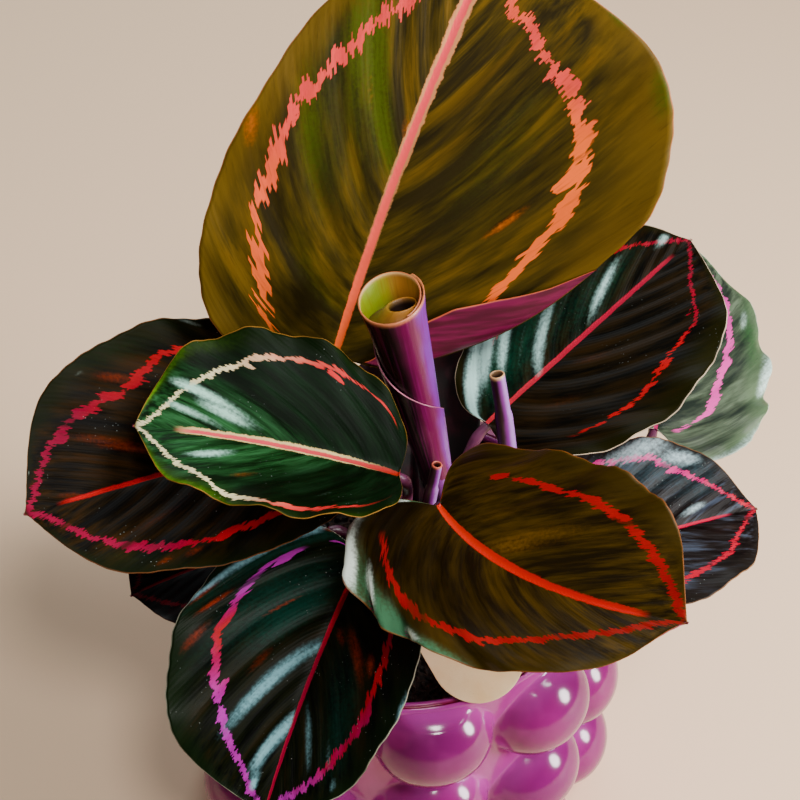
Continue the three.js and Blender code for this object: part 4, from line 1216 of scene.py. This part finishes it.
def folded_margin(leaf, material):
    """The lower right lobe folded over the upper face, a strip from the crease to the free margin."""
    share, inward = np.meshgrid(np.linspace(0, 1, FOLD_ROWS + 1), np.linspace(0, 1, FOLD_COLUMNS + 1),
                                indexing="ij")
    crease_t = 0.07 + 0.3 * share
    crease_u = np.interp(crease_t, *CREASE)
    stations, margin_t, margin_u = FREE_MARGIN
    t = crease_t + (np.interp(share, stations, margin_t) - crease_t) * inward
    u = crease_u + (np.interp(share, stations, margin_u) - crease_u) * inward
    surface = blade_surface(leaf, t, u, -np.ones_like(t))[0]
    face = leaf_axes(leaf)[2]
    height = (0.95 + FOLD_RISE * (1 - smoothstep(0.6, 1, share))) * (1 - (1 - inward) ** 8) - 0.55
    skins = [surface + face * (height - thickness)[..., None] for thickness in (0.0, FOLD_THICKNESS)]
    strip = sheet_piece(leaf["name"] + "_folded_margin", skins, [material])
    add_skin_attributes(strip, vein=t, reach=u, inward=inward)
    settle(strip, leaf["name"] + "_blade")


# ---- Leaf stalks ----

def stalk_finish():
    """Dull wine to lavender, speckled."""
    finish = Finish("lavender stalk skin")
    place = finish.place()
    streak = finish.noise(place, 90.0, 3.0)
    speck = finish.noise(place, 700.0, 2.0)
    colour = finish.mix(streak.step(0.35, 0.7), tone(58, 16, 34), tone(104, 52, 84))
    colour = finish.mix(speck.step(0.62, 0.75) * 0.5, colour, tone(70, 30, 40))
    return finish.surface(base_color=colour, roughness=0.4, normal=finish.bump(speck, 0.0001, 0.3))


def bezier(points, share):
    """Places along a Bezier curve of any order."""
    share = np.asarray(share, float)[:, None]
    points = [np.array(point, float) for point in points]
    while len(points) > 1:
        points = [a * (1 - share) + b * share for a, b in zip(points[:-1], points[1:])]
    return points[0]


def foot(plant_part):
    """The place in the potting mix where a stalk or a shoot begins."""
    return [[*plant_part["root"], SOIL_TOP - STALK_FOOT]]


def stalk_line(leaf):
    """Centre line and radius of a stalk, from the soil to the neck and on under the midrib."""
    base = np.array(leaf["base"], float)
    along, _, face = leaf_axes(leaf)
    start = np.array([*leaf["root"], SOIL_TOP + STALK_START])
    reach = np.linalg.norm(base - start)
    end = base - face * RIB_START
    share = np.linspace(0, 0.97, 26)
    knee = start + np.array([0, 0, reach * 0.42])
    path = bezier([start, knee, end - along * reach * leaf["approach"], end], share)
    radius = leaf["stalk"] + (RIB_START - leaf["stalk"]) * smoothstep(0.1, 0.75, share)
    radius = radius * (1 + 0.22 * np.exp(-((share - 0.84) / 0.07) ** 2))
    t = np.linspace(0.1, 0.9, RIB_ROWS)
    full = np.ones(RIB_ROWS)
    under = blade_surface(leaf, t, full * 0, full)[0]
    right = blade_surface(leaf, t, full * 0.06, -full)[0]
    left = blade_surface(leaf, t, full * 0.06, full)[0]
    up = np.cross(np.gradient(under, axis=0), left - right)
    up /= np.linalg.norm(up, axis=1)[:, None]
    keel = RIB_START + (RIB_END - RIB_START) * np.linspace(0, 1, RIB_ROWS)
    path = np.concatenate([foot(leaf), path, under - up * (keel + 0.2)[:, None]])
    return path, np.concatenate([[leaf["stalk"]], radius, keel])


def stalk_recipe(material):
    """Sweeps a round section along every line, as thick as the line says."""
    recipe = Recipe("stalk along a line", [("Sides", "NodeSocketInt")])
    line = recipe.node("GeometryNodeMeshToCurve", {}, {"Mesh": recipe.given("Geometry")})
    size = recipe.node("GeometryNodeInputNamedAttribute", {"data_type": "FLOAT"}, {"Name": "thickness"})
    section = recipe.node("GeometryNodeCurvePrimitiveCircle", {},
                          {"Resolution": recipe.given("Sides"), "Radius": 1.0})
    tube = recipe.node("GeometryNodeCurveToMesh", {},
                       {"Curve": line, "Profile Curve": section, "Scale": size, "Fill Caps": True})
    tube = recipe.node("GeometryNodeSetShadeSmooth", {}, {"Geometry": tube, "Shade Smooth": True})
    recipe.finish(tube, material)
    return recipe


def stalks():
    """All the stalks in one piece, each a line of points that is swept to a tube."""
    points = []
    edges = []
    sizes = []
    for leaf in LEAVES:
        path, radius = stalk_line(leaf)
        start = len(points)
        points.extend(path * MM)
        sizes.extend(radius * MM)
        edges.extend((start + i, start + i + 1) for i in range(len(path) - 1))
    mesh = bpy.data.meshes.new("leaf_stalks")
    mesh.from_pydata([tuple(point) for point in points], edges, [])
    piece = bpy.data.objects.new("leaf_stalks", mesh)
    bpy.context.scene.collection.objects.link(piece)
    add_attribute(piece, "thickness", sizes)
    stalk_recipe(stalk_finish()).apply(piece, {"Sides": STALK_SIDES})
    settle(piece, "leaf_1_blade")


# ---- Rolled leaves ----

def rolled_outside():
    """Painted light and shade: dark wine on the shaded left, a magenta band, then lavender on the side that
    faces the window.
    """
    finish = Finish("purple rolled leaf")
    share = finish.attribute("share")
    turn = finish.attribute("turn")
    facing = finish.attribute("facing")
    fine = finish.strokes(share * 3.0, facing * 9.0, finish.attribute("front") * 9.0, 3.0)
    cloud = finish.noise(finish.place(), 60.0, 2.0)
    # Painted light and shade: dark where the roll faces away from the window, lavender where it faces it.
    painted_light = facing + (cloud - 0.5) * 0.7
    colour = finish.mix(painted_light.step(-0.2, 0.4), tone(18, 1, 10), tone(92, 3, 58))
    colour = finish.mix(painted_light.step(0.55, 1.05), colour, tone(112, 50, 146))
    colour = finish.mix(fine.step(0.5, 0.75) * 0.5, colour, tone(112, 10, 84))
    rim = (1.0 - turn.step(0.001, 0.006)) * share.step(0.35, 0.5)
    colour = finish.mix(rim, colour, tone(160, 88, 110))
    colour = finish.mix(share.step(0.975, 1.0), colour, tone(190, 110, 70))
    return finish.surface(base_color=colour, roughness=0.34, normal=finish.bump(fine, 0.0002, 0.4))


def rolled_inside():
    """Lime green on the left of the mouth and tan on the right, darkened further down by painted shade."""
    finish = Finish("green inside of the rolled leaf")
    share = finish.attribute("share")
    facing = finish.attribute("facing")
    fine = finish.strokes(share * 6.0, facing * 12.0, 2.0, 3.0)
    colour = finish.mix((facing + (fine - 0.5) * 0.4).step(-0.6, 0.4), tone(128, 148, 4), tone(176, 116, 44))
    colour = finish.mix(fine.step(0.45, 0.75) * 0.4, colour, tone(120, 96, 14))
    # Painted shade: darker deeper inside the roll.
    colour = finish.mix(share.step(0.8, 0.97), tone(30, 14, 0), colour)
    colour = finish.mix(share.step(0.98, 1.0), colour, tone(206, 160, 100))
    return finish.surface(base_color=colour, roughness=0.42, normal=finish.bump(fine, 0.0002, 0.4))


def rolled_leaf():
    """The open roll: a sheet wound round a cone, with its outer edge drifting round as it climbs."""
    leaf = ROLLED_LEAF
    axis = np.array(leaf["lean"]) / np.linalg.norm(leaf["lean"])
    right = np.array([1.0, 0, 0]) - axis * axis[0]
    right /= np.linalg.norm(right)
    back = np.cross(axis, right)
    start = np.array([*leaf["root"], SOIL_TOP + ROLL_START])
    share, turn = np.meshgrid(np.linspace(0, 1, ROLL_ROWS + 1),
                              np.linspace(0, leaf["turns"], ROLL_COLUMNS + 1), indexing="ij")
    angle = (leaf["margin"] + leaf["drift"] * (1 - share)) * DEGREES - turn * 2 * math.pi
    cone = leaf["bottom_radius"] + (leaf["top_radius"] - leaf["bottom_radius"]) * share ** 0.8
    flare = 0.5 * smoothstep(0.9, 1, share)
    slant = leaf["slant"] * share * np.sin(angle)
    height = leaf["stem"] + (leaf["length"] - leaf["stem"]) * share + slant
    middle = start + axis * height[..., None]
    skins = []
    for inward in ROLL_SKINS:
        radius = cone - leaf["step"] * turn - inward + flare
        skins.append(middle + right * (radius * np.cos(angle))[..., None]
                     + back * (radius * np.sin(angle))[..., None])
    piece = sheet_piece("rolled_leaf", skins, [rolled_outside(), rolled_inside()])
    add_skin_attributes(piece, share=share, turn=turn, facing=np.cos(angle), front=np.sin(angle))
    settle(piece, "rolled_leaf", leaf["name"])
    rolled_heart(start + axis * leaf["length"], axis, right, back)
    return start, axis


def rolled_heart(top, axis, right, back):
    """The tighter roll inside the mouth, with its hole low on the right darkened by painted shade."""
    profile = [(0.5, -34), (7.0, -34), (8.6, -12), (9.3, -7), (8.4, -7), (7.0, -5.8), (5.8, -4.0),
               (5.2, -2.9), (4.8, -2.6), (4.4, -3.0), (4.2, -5), (3.8, -20), (0.5, -20)]
    # Painted shade: low depth shares darken the heart, less so near its top.
    painted_shade_depth = [0.8, 0.8, 0.8, 0.86, 0.86, 0.88, 0.92, 0.95, 0.95, 0.87, 0.8, 0.8, 0.8]
    rings = []
    for index, (radius, height) in enumerate(profile):
        centre = top + axis * height + (right * 3.2 - back * 1.4) * smoothstep(3, 8, index)
        rings.append(circle(centre, radius, right, back, HEART_SIDES))
    middles = [top + axis * profile[0][1], rings[-1].mean(axis=0)]
    heart = new_piece("rolled_leaf_heart", np.concatenate([*rings, middles]),
                      lathe_faces(len(rings), HEART_SIDES), [rolled_inside()])
    facing = 0.4 + 0.4 * np.cos(round_angles(HEART_SIDES))
    add_ring_attribute(heart, "share", np.repeat(painted_shade_depth, HEART_SIDES))
    add_ring_attribute(heart, "facing", np.tile(facing, len(rings)))
    settle(heart, "rolled_leaf")


def tube_piece(name, path, sizes, sides, material, far_share, mouth=()):
    """A closed round tube along a path, then through its mouth's rings: how far past the end, and size."""
    directions = np.gradient(path, axis=0)
    directions /= np.linalg.norm(directions, axis=1)[:, None]
    end = path[-1]
    onward = end - path[-2]
    onward /= np.linalg.norm(onward)
    sections = list(zip(path, directions, sizes))
    sections += [(end + onward * lift, onward, size) for lift, size in mouth]
    across = np.array([1.0, 0, 0])
    rings = []
    for point, direction, size in sections:
        across = across - direction * across.dot(direction)
        across /= np.linalg.norm(across)
        rings.append(circle(point, size, across, np.cross(direction, across), sides))
    centres = [sections[0][0], sections[-1][0]]
    piece = new_piece(name, np.concatenate([*rings, centres]), lathe_faces(len(rings), sides), [material])
    share = np.linspace(0, far_share, len(rings))
    add_ring_attribute(piece, "share", np.repeat(share, sides), (0.0, far_share))
    add_ring_attribute(piece, "facing", np.tile(np.cos(round_angles(sides)), len(rings)))
    return piece


def spear_finish(name, lip):
    """Purple in the shade, lavender in the light, with a paler lip round a mouth darkened by painted shade.
    """
    finish = Finish(name)
    share = finish.attribute("share")
    facing = finish.attribute("facing")
    place = finish.place()
    cloud = finish.noise(place, 70.0, 3.0)
    fine = finish.noise(place, 600.0, 2.0)
    painted_light = facing + (cloud - 0.5) * 0.8
    colour = finish.mix(painted_light.step(-0.3, 0.25), tone(40, 2, 26), tone(110, 40, 120))
    colour = finish.mix(painted_light.step(0.2, 0.8), colour, tone(160, 110, 186))
    colour = finish.mix(share.step(0.875, 0.895), colour, tone(*lip))
    # Painted shade down inside the mouth.
    colour = finish.mix(share.step(0.93, 0.97), colour, tone(30, 6, 4))
    return finish.surface(base_color=colour, roughness=0.36, normal=finish.bump(fine, 0.0001, 0.3))


def closed_spear(spear):
    """A thin shoot with a sheath step and a small hole rolled into its top."""
    finish = spear_finish(spear["finish"], spear["lip"])
    top = np.array(spear["top"], float)
    start = np.array([*spear["root"], SOIL_TOP + STALK_START])
    middle = (start + top) / 2 + np.array([*spear["bow"], 0])
    share = np.linspace(0, 1, 40)
    path = np.concatenate([foot(spear), bezier([start, middle, top], share)])
    mouth = spear["mouth"]
    radius = spear["radius"] + (mouth - spear["radius"]) * share
    radius = radius + 0.45 * (1 - smoothstep(0.82, 0.84, share))
    radius[0] *= 0.98
    radius = np.concatenate([[radius[0]], radius])
    pit = ((0.25, mouth - 0.15), (0.3, mouth - 0.4), (0.0, mouth - 0.6),
           (-spear["pit"] * 0.5, mouth - 0.9), (-spear["pit"], 0.4))
    piece = tube_piece(spear["name"] + "_shoot", path, radius, SHOOT_SIDES, finish, 1.0, pit)
    settle(piece, "rolled_leaf", spear["name"])


def rolled_stem(start, axis):
    """The stem of the open roll, which runs on a little way inside it."""
    leaf = ROLLED_LEAF
    share = np.linspace(0, 1.95, 36)
    path = np.concatenate([foot(leaf), start + axis * (leaf["stem"] * share)[:, None]])
    radius = 3 + (leaf["bottom_radius"] - 2.6) * np.clip(share, 0, 1.5)
    stem = tube_piece("rolled_leaf_stem", path, np.concatenate([[3.0], radius]), STEM_SIDES,
                      spear_finish("stem of the rolled leaf", (120, 64, 130)), 0.8)
    settle(stem, "rolled_leaf")


# ---- Old sheaths behind the rolled leaf ----

def sheath_finish():
    """Nearly black wine, streaked: painted shade on sheaths that fill a shaded gap behind the rolled leaf.
    """
    finish = Finish("wine sheath in painted shade")
    place = finish.place()
    streak = finish.noise(place, 160.0, 3.0)
    colour = finish.mix(streak.step(0.4, 0.7), tone(14, 2, 8), tone(50, 4, 26))
    return finish.surface(base_color=colour, roughness=0.5, normal=finish.bump(streak, 0.0003, 0.5))


def old_sheath(line):
    """A broad hollow sheath that rises from the soil and narrows to its tip."""
    share, across = np.meshgrid(np.linspace(0, 1, SHEATH_ROWS + 1), np.linspace(-1, 1, SHEATH_COLUMNS + 1),
                                indexing="ij")
    centre = bezier(line, share.ravel()).reshape(share.shape + (3,))
    width = SHEATH_WIDTH / 2 * (0.62 + 0.38 * np.sin(math.pi * share * 0.9))
    width = width * (1 - smoothstep(0.9, 1, share)) + 0.4
    bulge = across * across * SHEATH_HOLLOW * width / SHEATH_WIDTH
    skins = []
    for thickness in (0.0, SHEATH_THICKNESS):
        points = centre.copy()
        points[..., 0] += across * width
        points[..., 1] -= bulge - thickness
        skins.append(points)
    settle(sheet_piece("old_sheath", skins, [sheath_finish()]), "rolled_leaf")


# ---- Plant label ----

def card_finish():
    """Matt cream card with darker fibres, bare of print."""
    finish = Finish("cream card")
    place = finish.place()
    fibre = finish.noise(place, 1400.0, 4.0, 0.7)
    cloud = finish.noise(place, 90.0, 3.0)
    colour = finish.mix(cloud.step(0.3, 0.7), tone(240, 204, 146), tone(248, 220, 170))
    colour = finish.mix(fibre.step(0.6, 0.75) * 0.35, colour, tone(186, 140, 96))
    return finish.surface(base_color=colour, roughness=0.75, normal=finish.bump(fibre, 0.00008, 0.5))


def label_outline(far):
    """A long shape with two half-round ends, one about the origin and one a way further along."""
    outline = []
    for middle, turn in ((far, 0.0), (0.0, math.pi)):
        for k in range(TAG_STEPS + 1):
            angle = turn + math.pi * k / TAG_STEPS
            outline.append((TAG_WIDTH / 2 * math.cos(angle), middle + TAG_WIDTH / 2 * math.sin(angle)))
    return np.array(outline)


def plant_label():
    """A card with rounded ends, its edges slightly eased."""
    far = TAG_LENGTH - TAG_WIDTH
    outline = label_outline(far)
    centre = np.array([0.0, far / 2])
    inward = (centre - outline) / np.linalg.norm(centre - outline, axis=1)[:, None]
    levels = [(TAG_INSET, 0.0), (0.0, TAG_EASE), (0.0, TAG_THICKNESS - TAG_EASE), (TAG_INSET, TAG_THICKNESS)]
    points = []
    for inset, height in levels:
        points.append(np.column_stack([outline + inward * inset, np.full(len(outline), height)]))
    points = np.concatenate([*points, [[*centre, 0.0], [*centre, TAG_THICKNESS]]])
    turn = TAG_TURN * DEGREES
    lean = TAG_LEAN * DEGREES
    x = points[:, 0] * math.cos(turn) - points[:, 1] * math.sin(turn)
    y = points[:, 0] * math.sin(turn) + points[:, 1] * math.cos(turn)
    z = points[:, 2]
    placed = np.column_stack([x, y * math.cos(lean) - z * math.sin(lean),
                              y * math.sin(lean) + z * math.cos(lean)]) + np.array(TAG_FOOT)
    label = new_piece("plant_label", placed, lathe_faces(len(levels), len(outline)), [card_finish()])
    label.data.polygons.foreach_set("use_smooth", np.zeros(len(label.data.polygons), bool))
    settle(label, "label_card", "tag")


# ---- Stage ----

def add_camera():
    """A long lens that looks down on the plant from the front."""
    camera = bpy.data.cameras.new("camera")
    camera.lens = CAMERA_LENS
    camera.sensor_width = CAMERA_SENSOR
    camera.sensor_height = CAMERA_SENSOR
    camera.sensor_fit = "HORIZONTAL"
    camera.clip_start = 0.01
    holder = bpy.data.objects.new("camera", camera)
    holder.location = CAMERA_PLACE
    holder.rotation_euler = (CAMERA_PITCH * DEGREES, 0, 0)
    bpy.context.scene.collection.objects.link(holder)
    bpy.context.scene.camera = holder


def add_light(name, place, aim, width, height, power, colour):
    """A soft oval light, turned to what it is aimed at."""
    light = bpy.data.lights.new(name, "AREA")
    light.shape = "ELLIPSE"
    light.size = width
    light.size_y = height
    light.energy = power
    light.color = colour
    holder = bpy.data.objects.new(name, light)
    holder.location = place
    direction = Vector(aim) - Vector(place)
    holder.rotation_euler = direction.to_track_quat("-Z", "Y").to_euler()
    bpy.context.scene.collection.objects.link(holder)


def add_stage():
    """A plain pale floor, a dim even room light, two window lights, a back sky and a lamp."""
    finish = Finish("pale floor")
    material = finish.surface(base_color=tone(240, 206, 170), roughness=0.7)
    corners = ((-1, -1), (1, -1), (1, 1), (-1, 1))
    points = [(x * FLOOR_REACH, y * FLOOR_REACH, 0) for x, y in corners]
    floor = new_piece("floor", points, [(0, 1, 2, 3)], [material])
    floor.location.z = -FLOOR_DROP * MM
    world = bpy.data.worlds.new("soft room light")
    world.use_nodes = True
    background = world.node_tree.nodes["Background"]
    background.inputs["Color"].default_value = (1.0, 0.95, 0.9, 1.0)
    background.inputs["Strength"].default_value = ROOM_LIGHT
    bpy.context.scene.world = world
    for light in LIGHTS:
        add_light(**light)


# ---- Making everything ----

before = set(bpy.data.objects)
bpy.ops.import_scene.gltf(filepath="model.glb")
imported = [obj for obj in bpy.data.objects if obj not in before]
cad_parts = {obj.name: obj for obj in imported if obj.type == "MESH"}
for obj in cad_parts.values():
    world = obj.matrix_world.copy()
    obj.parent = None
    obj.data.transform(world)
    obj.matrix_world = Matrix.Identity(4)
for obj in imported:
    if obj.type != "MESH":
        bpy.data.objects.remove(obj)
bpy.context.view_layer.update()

add_camera()
add_stage()
cover_pot()
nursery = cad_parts["grower_pot"]
nursery.data.materials.clear()
nursery.data.materials.append(nursery_finish())
potting_mix()
underside = underside_finish()
for number, leaf in enumerate(LEAVES, 1):
    blade = blade_mesh(leaf, [painted_blade(leaf, number), underside])
    settle(blade, leaf["name"] + "_blade", leaf["name"])
    if leaf["name"] == FOLDED_LEAF:
        folded_margin(leaf, folded_finish())
stalks()
roll_start, roll_axis = rolled_leaf()
rolled_stem(roll_start, roll_axis)
for line in SHEATH_LINES:
    old_sheath(line)
for spear in CLOSED_SPEARS:
    closed_spear(spear)
plant_label()
